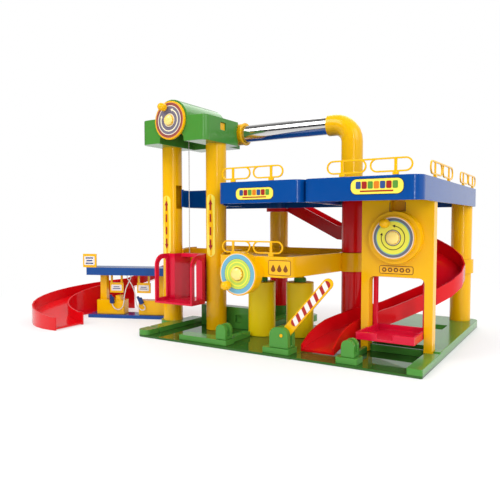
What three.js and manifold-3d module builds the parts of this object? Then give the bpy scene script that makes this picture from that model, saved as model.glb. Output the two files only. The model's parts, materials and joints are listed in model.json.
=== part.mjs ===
// Toy parking garage on two storeys, with a hand-wound car lift, a service lift, a car wash,
// a barrier, a spiral ramp, a long exit ramp and a filling station that stands beside it.
// Units are millimetres. X runs along the front, Y to the back, Z up.
// Inside the garage group, x = 0, y = 0 is near the front right corner of the base.
import * as THREE from 'three';
import { mergeVertices } from 'three/addons/utils/BufferGeometryUtils.js';
import Module from 'manifold-3d';

const wasm = await Module();
wasm.setup();

// Clearances
const seat = 0.3;
const play = 0.6;
const over = 3;

// Round pieces: sides of columns, of small round pieces and of a rounded corner
const columnSides = 24;
const smallSides = 12;
const cornerSides = 4;

// Base sheet and its kerbs
const baseLeftX = -558;
const baseRightX = 8;
const baseFrontY = -12;
const baseSplitX = -208;
const baseLeftBackY = 172;
const baseMidBackY = 266;
const baseBackMargin = 25;
const baseArmLeftX = -445;
const baseArmRightX = -375;
const sheetThickness = 4;
const kerbHeight = 14;
const kerbWidth = 15;
const barWidth = 29;
const barBlockLength = 36;
const barBlockGap = 4;
const sideBarWidth = 24;
const baseCorner = 14;
const floorStepHeight = 16;
const pitBackY = 104;
const pitWall = 5;
const floorHoleMarginX = 42;
const floorHoleWidth = 24;
const floorHoleMarginY = 110;
const floorHoleDepth = 50;
const stepWall = 4;

// Plinth behind the lift
const plinthLeftX = -512;
const plinthRightX = -374;
const plinthGap = 1;
const plinthTopZ = 49;
const plinthWall = 22;
const plinthRecess = 16;
const plinthRecessDepth = 5;

// Rear foot bar under the rear column
const footBarRightX = -322;
const footBarDepth = 44;
const footBossHeight = 32;
const footBossWall = 5;

// Columns
const columnRadius = 21.3;
const columnWall = 2.6;
const pegHeight = 16;
const liftLeftX = -570;
const liftRightX = -452;
const liftColumnY = 117;
const liftColumnTop = 404;
const notchWidth = 19;
const notchHeight = 50;
const notchZ = 258;
const midColumnX = -180;
const midColumnY = 192;
const rearColumnX = -418;
const rearColumnY = 326;
const cornerColumnX = -26;
const cornerColumnSetback = 144.91;
const cornerCollarDrop = 30;
const cornerCollarWall = 4;

// Decks
const deckMidTop = 170;
const deckMidBottom = 134;
const deckTopTop = 300;
const deckTopBottom = 262;
const deckWall = 3.2;
const deckFloor = 3;
const rimStand = 14;
const deckCorner = 20;
const deckFrontX = -360;
const deckBackY = 322;
const deckLiftSetback = 57;
const deckLiftOverhang = 22;
const deckSplitX = -196;
const deckSplitBackX = -208;
const deckSplitStepY = 120;
const deckRightX = 0;
const deckBackOverhang = 3;
const deckMidRightX = -218;
const deckMidBackX = -190;
const clipWall = 4;
const clipArm = 12;
const clipBack = 5;
const rampGateWidth = 72;

// Service tower
const towerInset = 4;
const towerWidth = 122;
const towerFrontY = 95;
const towerDepth = 21;
const towerLeg = 14;
const bayTopZ = 136;
const bayCorner = 9;
const towerFootZ = 4;
const slotSetback = 11;
const slotWidth = 24;
const slotBottomZ = 244;

// Dials
const dialThickness = 5;
const dialShaft = 5;
const hubRadius = 11;
const hubHeight = 5;
const knobRadius = 8;
const knobHeight = 16;
const knobStem = 4.5;
const knobLift = 4;
const liftDialRadius = 38.5;
const serviceZ = 203;
const serviceDialRadius = 37;
const serviceBossRadius = 44;
const serviceBossDepth = 14;
const washX = -306;
const washZ = 139;
const washDialRadius = 38;
const washBossRadius = 37;
const washBossDepth = 18;
const bossWall = 4;
const liftKnobAngle = 112;
const serviceKnobAngle = 116;
const washKnobAngle = 228;
const knobCircleShare = 0.72;

// Lift head, winch and cord
const headLeftOverhang = 24;
const headRightOverhang = 24;
const headFrontReach = 72;
const headBackReach = 49;
const tailSetback = 10;
const tailDepth = 42;
const headBottom = 390;
const headTop = 440;
const headCorner = 18;
const headWall = 3;
const barrelDrop = 7;
const barrelRadius = 42;
const barrelSetback = 16;
const hoodReach = 12;
const drumRadius = 11;
const drumFlange = 24;
const drumFlangeThickness = 3;
const drumGap = 40;
const windowSetback = 17;
const windowDepth = 19;
const windowBottom = 416;
const windowTop = 431;
const cordDiameter = 2;
const cordSides = 8;
const cordStepLimit = 80;

// Lift cage
const cageWidth = 98;
const cageFrontReach = 71;
const cageRearReach = 24;
const cageFloorZ = 60;
const cageFloorThickness = 4;
const cageHeight = 102;
const cageWall = 4;
const cageFrameWidth = 10;
const cageFrontRound = 24;
const cageSlat = 3;
const cageSlatCount = 6;
const cageBridgeHeight = 8;
const cageBridgeDepth = 16;

// Chrome tube and elbow pipe
const crossTubeZ = 417;
const crossTubeY = 184;
const chromeRadius = 17.5;
const chromeWall = 1.6;
const collarRadius = 22.5;
const collarLength = 32;
const collarFlange = 3;
const collarWall = 3.5;
const elbowRadius = 20.5;
const elbowWall = 2.6;
const elbowBend = 34;
const elbowSocketX = -228;
const elbowSteps = 7;

// Railings
const railWire = 2.6;
const railHeight = 26;
const railLoopGap = 5;
const railPost = 4.4;
const railFootRadius = 4.5;
const railFootHeight = 4;
const railPostShare = 0.19;
const railInset = 4;
const railLeftX = -356.5;
const railLeftLength = 126;
const railRightX = -151.5;
const railRightLength = 138;
const railSideY = 60;
const railSideLength = 160;
const railRearMargin = 15;

// Spiral ramp
const rampWidth = 62;
const rampWall = 3;
const rampFloor = 3.5;
const rampRim = 30;
const mouthRimShares = [0.38, 0.7, 0.9];
const rampMouthX = -181;
const rampMouthY = 34;
const rampMouthAngle = 90;
const rampEntryRadius = 202;
const rampEntryAngle = 50;
const rampRun = 82;
const rampTurnRadius = 63.5;
const rampTurnAngle = 140;
const rampBackRun = 181;
const rampTopRun = 126;
const rampFootZ = 4.6;
const rampEntryZ = 45.5;
const rampRunZ = 76.5;
const rampTurnZ = 173;
const rampBackZ = 190.5;
const rampTopZ = 253.4;
const landingLength = 46;
const landingThickness = 8;
const rampStep = 22;

// Exit ramp
const exitWidth = 80;
const exitRim = 26;
const exitStartX = -608;
const exitStartY = 268;
const exitHeadingAngle = 197.6;
const exitRun = 201;
const exitRadius = 119.5;
const exitTurnAngle = 166;
const exitTail = 14;
const exitTopZ = 126;
const exitRunZ = 56;
const exitFootZ = 2;
const exitLip = 26;
const exitLandingWidth = 56;

// Barrier and its rests
const slabHeight = 10;
const postX = -236;
const postWidth = 36;
const postDepth = 34;
const postTopZ = 50;
const pivotX = -231;
const pivotZ = 36;
const armThickness = 5;
const armWidth = 18;
const armLength = 131;
const armTail = 14;
const armAngle = 49;
const pinRadius = 3;
const restWidth = 22;
const restDepth = 30;
const restTopZ = 42;
const restSlot = 8;
const restSlotDepth = 22;
const leftRestX = -358;
const rightRestX = -112;
const slabLeftLength = 96;
const slabRightLength = 40;
const slabBarrierLength = 62;
const laneY = 10;

// Car wash
const rollerRadius = 27;
const rollerTop = 111;
const rollerOneX = -343;
const rollerOneY = 121;
const rollerTwoX = -273;
const rollerTwoY = 151;
const rollerSpindle = 4;
const rollerWall = 2.5;
const rollerCap = 8;
const idlerY = 136;
const idlerRadius = 20;
const driveDiscZ = 124;
const driveDiscThickness = 4.3;
const driveWheelWidth = 6;
const driveWheelSetback = 13;
const idlerSpindle = 3;
const idlerHead = 6;
const hangerWidth = 24;
const hangerDepth = 6;
const hangerSetback = 24;

// Service lift
const platformFloorZ = 35;
const platformLip = 13;
const platformThickness = 4;
const platformFrontY = 42;
const platformBackY = 136;
const platformSetback = 11;
const platformGap = 26;
const platformPost = 7;
const platformPostTop = 150;
const rackTop = 232;
const rackWidth = 9;
const rackDepth = 8;
const toothCount = 12;
const toothModule = 2.4;
const toothHeightShare = 0.7;
const toothAngle = 25;
const toothBacklash = 0.7;
const pinionWidth = 7;

// Filling station
const stationX = -803;
const stationY = 83;
const stationAngle = 23;
const stationLength = 205;
const stationDepth = 46;
const stationBaseHeight = 8;
const roofBottom = 103;
const roofThickness = 18;
const roofShell = 3;
const roofOverhang = 4;
const pumpLength = 70;
const pumpDepth = 30;
const pumpHeight = 34;
const pumpEndInset = 15;
const pumpColumn = 16;
const pumpColumnInset = 7;
const pumpNubLeft = 47;
const pumpNubWidth = 14;
const pumpNubHeight = 11;
const roofSignWidth = 33;
const roofSignHeight = 32;
const signThickness = 4;
const hangSignWidth = 33;
const hangSignHeight = 24;
const hangSignDrop = 19;
const hangStrap = 4;
const hangSignLeftX = 65;
const hangSignRightX = 133;
const hoseDiameter = 2.4;
const hoseStep = 6;
const hookLeftX = 92;
const hookWidth = 16;
const hookDepth = 9;
const nozzleWidth = 10;
const nozzleHeight = 16;
const nozzleThickness = 6;
const nozzleTip = 5;
const nozzleLeftX = 56;
const nozzleRightX = 131;
const nozzleZ = 35;
const nozzleRightAngle = 24;
// Routes of the two hoses from the hook under the roof to their nozzles, in the station's own frame
const hoseLeftRoute = [[104, 4, 102.7], [103.9, 4, 99.5], [103.3, 4, 96], [101, 4, 91], [98, 4, 85],
  [94.6, 4.1, 78], [91.5, 4.2, 71], [89, 4.3, 61.5], [87, 4.4, 52], [86.2, 4.5, 43.5], [85, 4.6, 35],
  [83.2, 4.6, 29], [80, 4.7, 24.6], [75.5, 4.7, 21.4], [70.5, 4.7, 20.4], [65.3, 4.7, 21.6],
  [61, 4.7, 24.6], [58, 4.7, 29], [56.4, 4.7, 32.5], [56, 4.7, 34.7]];
const hoseRightRoute = [[96, 0.2, 102.7], [96.1, 0.2, 99.8], [97.2, 0.1, 96.3], [99.3, 0, 93],
  [102, 0, 89.6], [105.8, 0, 84], [109, 0, 78], [112, 0, 71.2], [114.5, 0, 64], [115.8, 0, 57],
  [116.6, 0, 50], [117.1, 0.1, 43.4], [118.4, 0.3, 37], [120, 0.8, 31.6], [122.6, 1.7, 26.8],
  [125.6, 2.7, 23.4], [129.2, 3.6, 21.2], [133, 4.2, 20.4], [136.6, 4.5, 21.6], [138.6, 4.7, 24],
  [138.7, 4.7, 27], [137, 4.7, 30], [134, 4.7, 33.4]];

// Places that follow from the sizes above
const rampTurnCentreY = rampMouthY + rampEntryRadius * Math.sin(THREE.MathUtils.degToRad(rampEntryAngle))
  + rampRun * Math.cos(THREE.MathUtils.degToRad(rampEntryAngle))
  + rampTurnRadius * Math.sin(THREE.MathUtils.degToRad(rampEntryAngle));
const cornerColumnY = rampTurnCentreY + cornerColumnSetback;
const barInnerX = baseLeftX + barWidth;
const baseRightBackY = cornerColumnY + baseBackMargin;
const deckRightBackY = baseRightBackY + deckBackOverhang;
const floorHoleRightX = baseRightX - floorHoleMarginX;
const floorHoleLeftX = floorHoleRightX - floorHoleWidth;
const floorHoleBackY = baseRightBackY - floorHoleMarginY;
const floorHoleFrontY = floorHoleBackY - floorHoleDepth;
const railSideRearY = deckRightBackY - railRearMargin - railSideLength;
const towerRightX = deckRightX - towerInset;
const towerLeftX = towerRightX - towerWidth;
const serviceX = (towerLeftX + towerRightX) / 2;
const slotLeftX = serviceX - slotSetback;
const slotRightX = slotLeftX + slotWidth;
const liftMiddleX = (liftLeftX + liftRightX) / 2;
const barrelX = liftMiddleX;
const barrelZ = headTop - barrelDrop;
const deckLeftX = liftLeftX - deckLiftOverhang;
const deckLiftY = liftColumnY + deckLiftSetback;
const headLeftX = liftLeftX - headLeftOverhang;
const headRightX = liftRightX + headRightOverhang;
const headFrontY = liftColumnY - headFrontReach;
const headBackY = liftColumnY + headBackReach;
const tailLeftX = liftLeftX + tailSetback;
const tailRightX = liftRightX;
const tailBackY = headBackY + tailDepth;
const barrelBackY = headBackY - barrelSetback;
const hoodBackY = headBackY + hoodReach;
const windowFrontY = liftColumnY - windowSetback;
const windowBackY = windowFrontY + windowDepth;
const cageFrontY = liftColumnY - cageFrontReach;
const cageRearY = liftColumnY + cageRearReach;
const plinthFrontY = cageRearY + plinthGap;
const idlerX = washX;

// Colours
const green = new THREE.MeshStandardMaterial({ color: 0x3f9a45, roughness: 0.35, metalness: 0 });
const yellow = new THREE.MeshStandardMaterial({ color: 0xf7bd00, roughness: 0.35, metalness: 0 });
const rollerYellow = new THREE.MeshStandardMaterial({ color: 0xe2c400, roughness: 0.4, metalness: 0 });
const red = new THREE.MeshStandardMaterial({ color: 0xc8101c, roughness: 0.35, metalness: 0 });
const cageRed = new THREE.MeshStandardMaterial({ color: 0xd0183c, roughness: 0.4, metalness: 0 });
const blue = new THREE.MeshStandardMaterial({ color: 0x154a9c, roughness: 0.35, metalness: 0 });
const chrome = new THREE.MeshStandardMaterial({ color: 0xd8d8d8, roughness: 0.08, metalness: 1 });
const white = new THREE.MeshStandardMaterial({ color: 0xe8e6e0, roughness: 0.6, metalness: 0 });
const rubber = new THREE.MeshStandardMaterial({ color: 0x2a2a2a, roughness: 0.8, metalness: 0 });

const garage = new THREE.Group();

// Turns a closed geometry into a solid that can be joined and cut
function solidOf(geometry) {
  geometry.deleteAttribute('normal');
  geometry.deleteAttribute('uv');
  const merged = mergeVertices(geometry);
  const points = merged.attributes.position;
  const corner = [new THREE.Vector3(), new THREE.Vector3(), new THREE.Vector3()];
  const faces = [];
  let volume = 0;
  for (let i = 0; i < merged.index.count; i += 3) {
    const face = [0, 1, 2].map((k) => merged.index.getX(i + k));
    if (new Set(face).size === 3) {
      face.forEach((v, k) => corner[k].fromBufferAttribute(points, v));
      volume += corner[0].dot(corner[1].clone().cross(corner[2]));
      faces.push(face);
    }
  }
  return new wasm.Manifold(new wasm.Mesh({
    numProp: 3,
    vertProperties: new Float32Array(points.array),
    triVerts: new Uint32Array(faces.flatMap((face) => (volume < 0 ? face.reverse() : face))),
  }));
}

// Adds a solid to a group as a named mesh
function piece(name, solid, material, group = garage) {
  const result = solid.getMesh();
  const geometry = new THREE.BufferGeometry();
  geometry.setAttribute('position', new THREE.BufferAttribute(result.vertProperties, 3));
  geometry.setIndex(new THREE.BufferAttribute(result.triVerts, 1));
  geometry.computeVertexNormals();
  const mesh = new THREE.Mesh(geometry, material);
  mesh.name = name;
  group.add(mesh);
  return mesh;
}

function join(first, ...others) {
  return others.reduce((whole, part) => whole.add(part), first);
}

function cut(first, ...others) {
  return others.reduce((whole, part) => whole.subtract(part), first);
}

function box(x0, x1, y0, y1, z0, z1) {
  const geometry = new THREE.BoxGeometry(x1 - x0, y1 - y0, z1 - z0);
  return solidOf(geometry.translate((x0 + x1) / 2, (y0 + y1) / 2, (z0 + z1) / 2));
}

// Points of an outline whose corners [x, y, radius] are rounded
function outline(corners, sides = cornerSides) {
  const points = [];
  corners.forEach(([x, y, radius = 0], i) => {
    const here = new THREE.Vector2(x, y);
    if (radius === 0) {
      points.push(here);
      return;
    }
    const [px, py] = corners[(i + corners.length - 1) % corners.length];
    const [nx, ny] = corners[(i + 1) % corners.length];
    const back = new THREE.Vector2(px, py).sub(here).normalize();
    const ahead = new THREE.Vector2(nx, ny).sub(here).normalize();
    const half = Math.acos(THREE.MathUtils.clamp(back.dot(ahead), -1, 1)) / 2;
    const centre = back.clone().add(ahead).normalize().multiplyScalar(radius / Math.sin(half)).add(here);
    const start = back.multiplyScalar(radius / Math.tan(half)).add(here).sub(centre);
    const end = ahead.multiplyScalar(radius / Math.tan(half)).add(here).sub(centre);
    const sweep = Math.atan2(start.x * end.y - start.y * end.x, start.dot(end));
    for (let k = 0; k <= sides; k += 1) {
      const turned = start.clone().rotateAround(new THREE.Vector2(0, 0), (sweep * k) / sides);
      points.push(turned.add(centre));
    }
  });
  return points;
}

function circle(x, y, radius, sides = smallSides) {
  return Array.from({ length: sides }, (_, i) => {
    const angle = (i * 2 * Math.PI) / sides;
    return new THREE.Vector2(x + radius * Math.cos(angle), y + radius * Math.sin(angle));
  });
}

// Points of a stadium, a slot with two round ends, along its first direction
function stadium(x0, x1, y0, y1, sides = cornerSides) {
  const radius = (y1 - y0) / 2;
  return outline([[x0, y0, radius], [x1, y0, radius], [x1, y1, radius], [x0, y1, radius]], sides);
}

function extrude(points, depth) {
  return new THREE.ExtrudeGeometry(new THREE.Shape(points), { depth, bevelEnabled: false });
}

// An outline in X and Y, raised from z0 to z1
function prismZ(points, z0, z1) {
  return solidOf(extrude(points, z1 - z0).translate(0, 0, z0));
}

// An outline in X and Z, run from y0 to y1
function prismY(points, y0, y1) {
  return solidOf(extrude(points, y1 - y0).rotateX(Math.PI / 2).translate(0, y1, 0));
}

// An outline in Y and Z, run from x0 to x1
function prismX(points, x0, x1) {
  const axes = new THREE.Matrix4().makeBasis(
    new THREE.Vector3(0, 1, 0), new THREE.Vector3(0, 0, 1), new THREE.Vector3(1, 0, 0));
  return solidOf(extrude(points, x1 - x0).applyMatrix4(axes).translate(x0, 0, 0));
}

function rodZ(x, y, radius, z0, z1, sides = columnSides) {
  return prismZ(circle(x, y, radius, sides), z0, z1);
}

function rodY(x, z, radius, y0, y1, sides = columnSides) {
  return prismY(circle(x, z, radius, sides), y0, y1);
}

function rodX(y, z, radius, x0, x1, sides = columnSides) {
  return prismX(circle(y, z, radius, sides), x0, x1);
}

// A closed skin through a row of rings that share one flat section
function loft(rings, section) {
  const count = section.length;
  const positions = rings.flat().flatMap((p) => [p.x, p.y, p.z]);
  const index = [];
  for (let r = 0; r < rings.length - 1; r += 1) {
    for (let k = 0; k < count; k += 1) {
      const a = r * count + k;
      const b = r * count + ((k + 1) % count);
      index.push(a, b, b + count, a, b + count, a + count);
    }
  }
  const last = (rings.length - 1) * count;
  THREE.ShapeUtils.triangulateShape(section, []).forEach(([a, b, c]) => {
    index.push(a, c, b, last + a, last + b, last + c);
  });
  const geometry = new THREE.BufferGeometry();
  geometry.setAttribute('position', new THREE.Float32BufferAttribute(positions, 3));
  geometry.setIndex(index);
  return solidOf(geometry);
}

// Stations of a ramp in plan: legs are straight, or turn left by an angle, or right if it is negative
function stations(x, y, heading, z, legs) {
  let angle = THREE.MathUtils.degToRad(heading);
  let height = z;
  const place = new THREE.Vector2(x, y);
  const runs = [];
  legs.forEach(({ length, turn = 0, rise }) => {
    const sweep = THREE.MathUtils.degToRad(turn);
    const count = Math.max(1, turn === 0 ? 1 : Math.round(length / rampStep));
    const run = [];
    const chord = turn === 0 ? 1 : Math.sin(sweep / count / 2) / (sweep / count / 2);
    for (let i = 0; i <= count; i += 1) {
      run.push({ x: place.x, y: place.y, z: height + (rise * i) / count, angle });
      if (i < count) {
        const middle = angle + sweep / count / 2;
        const advance = (length / count) * chord;
        place.add(new THREE.Vector2(Math.cos(middle), Math.sin(middle)).multiplyScalar(advance));
        angle += sweep / count;
      }
    }
    height += rise;
    runs.push(run);
  });
  return runs;
}

// One ring of a section carried by a station; across runs to its left
function ringAt(station, section) {
  return section.map((p) => new THREE.Vector3(
    station.x - Math.sin(station.angle) * p.x,
    station.y + Math.cos(station.angle) * p.x,
    station.z + p.y));
}

// The open section of a ramp, seen along it
function channelSection(width, rim, drop = 0) {
  const half = width / 2;
  const inner = half - rampWall;
  const points = [[half, -drop], [half, rim], [inner, rim], [inner, rampFloor],
    [-inner, rampFloor], [-inner, rim], [-half, rim], [-half, -drop]];
  if (drop > 0) {
    points.push([-inner, -drop], [-inner, 0], [inner, 0], [inner, -drop]);
  }
  return points.map(([a, b]) => new THREE.Vector2(a, b));
}

// A channel along a run; the first rims can be lower, by a share for each station
function channel(run, width, rim, shares = []) {
  const rings = run.map((station, i) => {
    const section = channelSection(width, rim * (shares[i] ?? 1));
    return ringAt(station, section);
  });
  return loft(rings, channelSection(width, rim));
}

// The same channel with its walls carried down to the floor
function skirtedChannel(run, width) {
  const section = channelSection(width, exitRim, rampWall);
  return loft(run.map((station) => ringAt(station, section).map((p, i) => {
    if (section[i].y < 0) {
      p.z = 0;
    }
    return p;
  })), section);
}

// A hollow column that stands on z0
function column(x, y, z0, z1) {
  return cut(rodZ(x, y, columnRadius, z0, z1), rodZ(x, y, columnRadius - columnWall, z0 - over, z1 + over));
}

// The peg or socket that holds a column from inside
function columnPeg(x, y, z0, z1) {
  return rodZ(x, y, columnRadius - columnWall - seat, z0, z1);
}

function columnHole(x, y, z0, z1) {
  return rodZ(x, y, columnRadius + seat, z0, z1);
}

// Moves each edge of an outline inwards, for a wall of even thickness
function inset(corners, distance) {
  return corners.map(([x, y, radius = 0], i) => {
    const [px, py] = corners[(i + corners.length - 1) % corners.length];
    const [nx, ny] = corners[(i + 1) % corners.length];
    const before = new THREE.Vector2(x - px, y - py).normalize();
    const after = new THREE.Vector2(nx - x, ny - y).normalize();
    const cross = before.x * after.y - before.y * after.x;
    const shift = after.clone().sub(before).multiplyScalar(distance / cross);
    const rounded = cross > 0 ? radius - distance : radius + distance;
    return [x + shift.x, y + shift.y, radius === 0 ? 0 : Math.max(rounded, seat)];
  });
}

// A wheel of straight-flanked teeth with involute sides, about x and z
function gearOutline(x, z, turn) {
  const pitch = (toothCount * toothModule) / 2;
  const pressure = THREE.MathUtils.degToRad(toothAngle);
  const baseCircle = pitch * Math.cos(pressure);
  const tip = pitch + toothModule * toothHeightShare;
  const root = pitch - toothModule * toothHeightShare - toothBacklash;
  const involute = (radius) => {
    const angle = Math.acos(Math.min(1, baseCircle / radius));
    return Math.tan(angle) - angle;
  };
  const halfTooth = (Math.PI / 2) / toothCount - toothBacklash / (2 * pitch) + involute(pitch);
  const radii = [root, Math.max(baseCircle, root), pitch, tip];
  return Array.from({ length: toothCount }, (_, i) => {
    const middle = turn + (i * 2 * Math.PI) / toothCount;
    const flank = radii.map((radius) => [radius, halfTooth - involute(Math.max(radius, baseCircle))]);
    const up = flank.map(([radius, half]) => [radius, middle - half]);
    const down = flank.map(([radius, half]) => [radius, middle + half]).reverse();
    return [...up, ...down].map(([radius, angle]) => new THREE.Vector2(
      x + radius * Math.cos(angle), z + radius * Math.sin(angle)));
  }).flat();
}

// A straight rack whose teeth point to the left, with a tooth gap at z
function rackOutline(pitchX, backX, z0, z1, z) {
  const step = Math.PI * toothModule;
  const slope = Math.tan(THREE.MathUtils.degToRad(toothAngle));
  const reach = toothModule * toothHeightShare;
  const half = step / 4 - toothBacklash / 2;
  const points = [[backX, z0], [backX, z1], [pitchX + reach + toothBacklash, z1]];
  const first = Math.floor((z1 - z) / step - 1);
  const last = Math.ceil((z0 - z) / step + 1);
  for (let i = first; i > last; i -= 1) {
    const middle = z + (i + 1 / 2) * step;
    const rootX = pitchX + reach + toothBacklash;
    points.push(
      [rootX, middle + half + (rootX - pitchX) * slope],
      [pitchX - reach, middle + half - reach * slope],
      [pitchX - reach, middle - half + reach * slope],
      [rootX, middle - half - (rootX - pitchX) * slope]);
  }
  points.push([pitchX + reach + toothBacklash, z0]);
  return points.map(([a, b]) => new THREE.Vector2(a, b));
}

// Base, in two moulded sheets with kerbs and the pegs that hold the columns
const baseTop = sheetThickness;
const slabFrontY = laneY - restDepth / 2;
const slabBackY = laneY + restDepth / 2;
const kerbTop = kerbHeight;

function kerb(x0, x1, y0, y1, top = kerbTop) {
  return prismZ(outline([[x0, y0, over], [x1, y0, over], [x1, y1, over], [x0, y1, over]], 2), 0, top);
}

function makeBaseLeft() {
  const boss = columnRadius + footBossWall;
  const sheet = prismZ(outline([
    [baseLeftX, baseFrontY, baseCorner], [baseSplitX - seat, baseFrontY],
    [baseSplitX - seat, baseMidBackY], [baseArmRightX, baseMidBackY],
    [baseArmRightX, baseLeftBackY], [baseLeftX, baseLeftBackY, baseCorner]]), 0, baseTop);
  const blockCorner = (barInnerX - baseLeftX) / 2 - over;
  const frontBlock = prismZ(outline([
    [baseLeftX, baseFrontY, baseCorner], [barInnerX, baseFrontY, blockCorner],
    [barInnerX, baseFrontY + barBlockLength, over], [baseLeftX, baseFrontY + barBlockLength, over]]),
  0, kerbTop);
  const sideBar = kerb(baseLeftX, barInnerX, baseFrontY + barBlockLength + barBlockGap, baseLeftBackY);
  const plinthBackY = plinthFrontY + plinthWall;
  const plinth = kerb(plinthLeftX, plinthRightX, plinthFrontY, plinthBackY, plinthTopZ);
  const recessX = (liftRightX + plinthRightX) / 2;
  const recess = box(recessX - plinthRecess / 2, recessX + plinthRecess / 2, plinthFrontY - over,
    plinthFrontY + plinthRecessDepth, (plinthTopZ - plinthRecess) / 2, (plinthTopZ + plinthRecess) / 2);
  const frontSlab = kerb(leftRestX - slabLeftLength, leftRestX + restWidth / 2 + over, slabFrontY, slabBackY,
    slabHeight + baseTop);
  const laneKerb = kerb(leftRestX - kerbWidth / 2, leftRestX + kerbWidth / 2, slabBackY - over,
    rollerOneY - rollerRadius - over);
  const backKerb = kerb(baseArmRightX, baseArmRightX + kerbWidth, baseLeftBackY - kerbWidth, baseMidBackY);
  const barrierSlab = kerb(postX - slabBarrierLength / 2, postX + postWidth / 2 + over,
    laneY - postDepth / 2, laneY + postDepth / 2, slabHeight + baseTop);
  const spindles = [[rollerOneX, rollerOneY], [rollerTwoX, rollerTwoY]].map(([x, y]) => rodZ(x, y,
    rollerSpindle, 0, baseTop + pegHeight, smallSides));
  const whole = join(sheet, frontBlock, sideBar, rodZ(liftLeftX, liftColumnY, boss, 0, kerbTop), plinth,
    frontSlab, laneKerb, backKerb, barrierSlab, ...spindles);
  return join(cut(whole, recess, columnHole(liftLeftX, liftColumnY, baseTop, kerbTop + over),
    columnHole(liftRightX, liftColumnY, baseTop, plinthTopZ + over)),
  columnPeg(liftLeftX, liftColumnY, 0, baseTop + pegHeight),
  columnPeg(liftRightX, liftColumnY, 0, baseTop + pegHeight));
}

function makeBaseRight() {
  const sheetCorners = [
    [baseSplitX + seat, baseFrontY], [baseRightX, baseFrontY, baseCorner],
    [baseRightX, baseRightBackY, baseCorner], [baseSplitX + seat, baseRightBackY, baseCorner]];
  const sheet = prismZ(outline(sheetCorners), 0, baseTop);
  const sideBar = kerb(baseRightX - sideBarWidth, baseRightX, baseFrontY, baseRightBackY - baseCorner);
  const step = prismZ(outline([
    [towerLeftX, pitBackY], [baseRightX, pitBackY], [baseRightX, baseRightBackY, baseCorner],
    [baseSplitX + seat, baseRightBackY, baseCorner],
    [baseSplitX + seat, midColumnY + columnRadius + sideBarWidth],
    [towerLeftX, midColumnY + columnRadius + sideBarWidth]]), 0, floorStepHeight);
  const pit = box(towerLeftX + towerLeg, towerRightX - towerLeg, pitBackY + pitWall,
    platformBackY + pitWall, baseTop, floorStepHeight + over);
  const hole = box(floorHoleLeftX, floorHoleRightX, floorHoleFrontY, floorHoleBackY, -over,
    floorStepHeight + over);
  const boss = columnRadius + footBossWall;
  const hollowFrontY = midColumnY + columnRadius + sideBarWidth + stepWall;
  const hollow = cut(
    box(baseSplitX + seat + stepWall, baseRightX - stepWall, hollowFrontY, baseRightBackY - stepWall, -over,
      floorStepHeight - stepWall),
    box(floorHoleLeftX - stepWall, floorHoleRightX + stepWall, floorHoleFrontY - stepWall,
      floorHoleBackY + stepWall, -2 * over, floorStepHeight),
    rodZ(cornerColumnX, cornerColumnY, boss, -2 * over, floorStepHeight),
    box(baseRightX - baseCorner, baseRightX, baseRightBackY - baseCorner, baseRightBackY, -2 * over,
      floorStepHeight),
    box(baseSplitX, baseSplitX + baseCorner, baseRightBackY - baseCorner, baseRightBackY, -2 * over,
      floorStepHeight));
  const slab = kerb(rightRestX - slabRightLength / 2, rightRestX + slabRightLength / 2 - over, slabFrontY,
    slabBackY, slabHeight + baseTop);
  const bayKerb = kerb(towerLeftX + towerLeg - kerbWidth / 2, towerLeftX + towerLeg, slabBackY - over,
    towerFrontY - over);
  const feet = [towerLeftX + towerLeg / 2, towerRightX - towerLeg / 2].map((x) => box(
    x - towerLeg / 4, x + towerLeg / 4, towerFrontY + towerDepth / 4, towerFrontY + (towerDepth * 3) / 4,
    0, baseTop + pegHeight));
  const legHoles = [towerLeftX, towerRightX - towerLeg].map((x) => box(x - seat, x + towerLeg + seat,
    towerFrontY - seat, towerFrontY + towerDepth + seat, baseTop, floorStepHeight + over));
  const whole = cut(join(sheet, sideBar, step, slab, bayKerb,
    rodZ(cornerColumnX, cornerColumnY, boss, 0, floorStepHeight)), hollow, pit, hole, ...legHoles,
  columnHole(cornerColumnX, cornerColumnY, baseTop, floorStepHeight + over));
  return join(whole, ...feet, columnPeg(midColumnX, midColumnY, 0, baseTop + pegHeight),
    columnPeg(cornerColumnX, cornerColumnY, 0, baseTop + pegHeight));
}

function makeRearFoot() {
  const y0 = rearColumnY - footBarDepth / 2;
  const y1 = rearColumnY + footBarDepth / 2;
  const right = baseArmRightX - seat;
  const front = baseLeftBackY + seat;
  const sheet = prismZ(outline([
    [baseArmLeftX, front], [right, front], [right, y0], [footBarRightX, y0, baseCorner],
    [footBarRightX, y1, baseCorner], [baseArmLeftX, y1, baseCorner]]), 0, baseTop);
  const bar = prismZ(outline([
    [right - kerbWidth, y0], [footBarRightX, y0, baseCorner], [footBarRightX, y1, baseCorner],
    [right - kerbWidth, y1]]), 0, kerbTop);
  const arm = kerb(right - kerbWidth, right, front, y1);
  const boss = rodZ(rearColumnX, rearColumnY, columnRadius + footBossWall, 0, footBossHeight);
  const hole = columnHole(rearColumnX, rearColumnY, baseTop, footBossHeight + over);
  return join(cut(join(sheet, bar, arm, boss), hole),
    columnPeg(rearColumnX, rearColumnY, 0, baseTop + pegHeight));
}

piece('base_left', makeBaseLeft(), green);
piece('base_right', makeBaseRight(), green);
piece('rear_foot', makeRearFoot(), green);

// Rests for the barrier's tip, and the post that carries the barrier
function makeRest(x) {
  const z0 = slabHeight + baseTop + seat;
  const y0 = slabFrontY + over;
  const y1 = slabBackY - over;
  const half = restWidth / 2;
  const shape = outline([[x - half, z0], [x + half, z0],
    [x + half, restTopZ, half - seat], [x - half, restTopZ, half - seat]]);
  return cut(prismY(shape, y0, y1), box(x - restWidth, x + restWidth, laneY - restSlot / 2,
    laneY + restSlot / 2, restTopZ - restSlotDepth, restTopZ + over));
}

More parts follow.
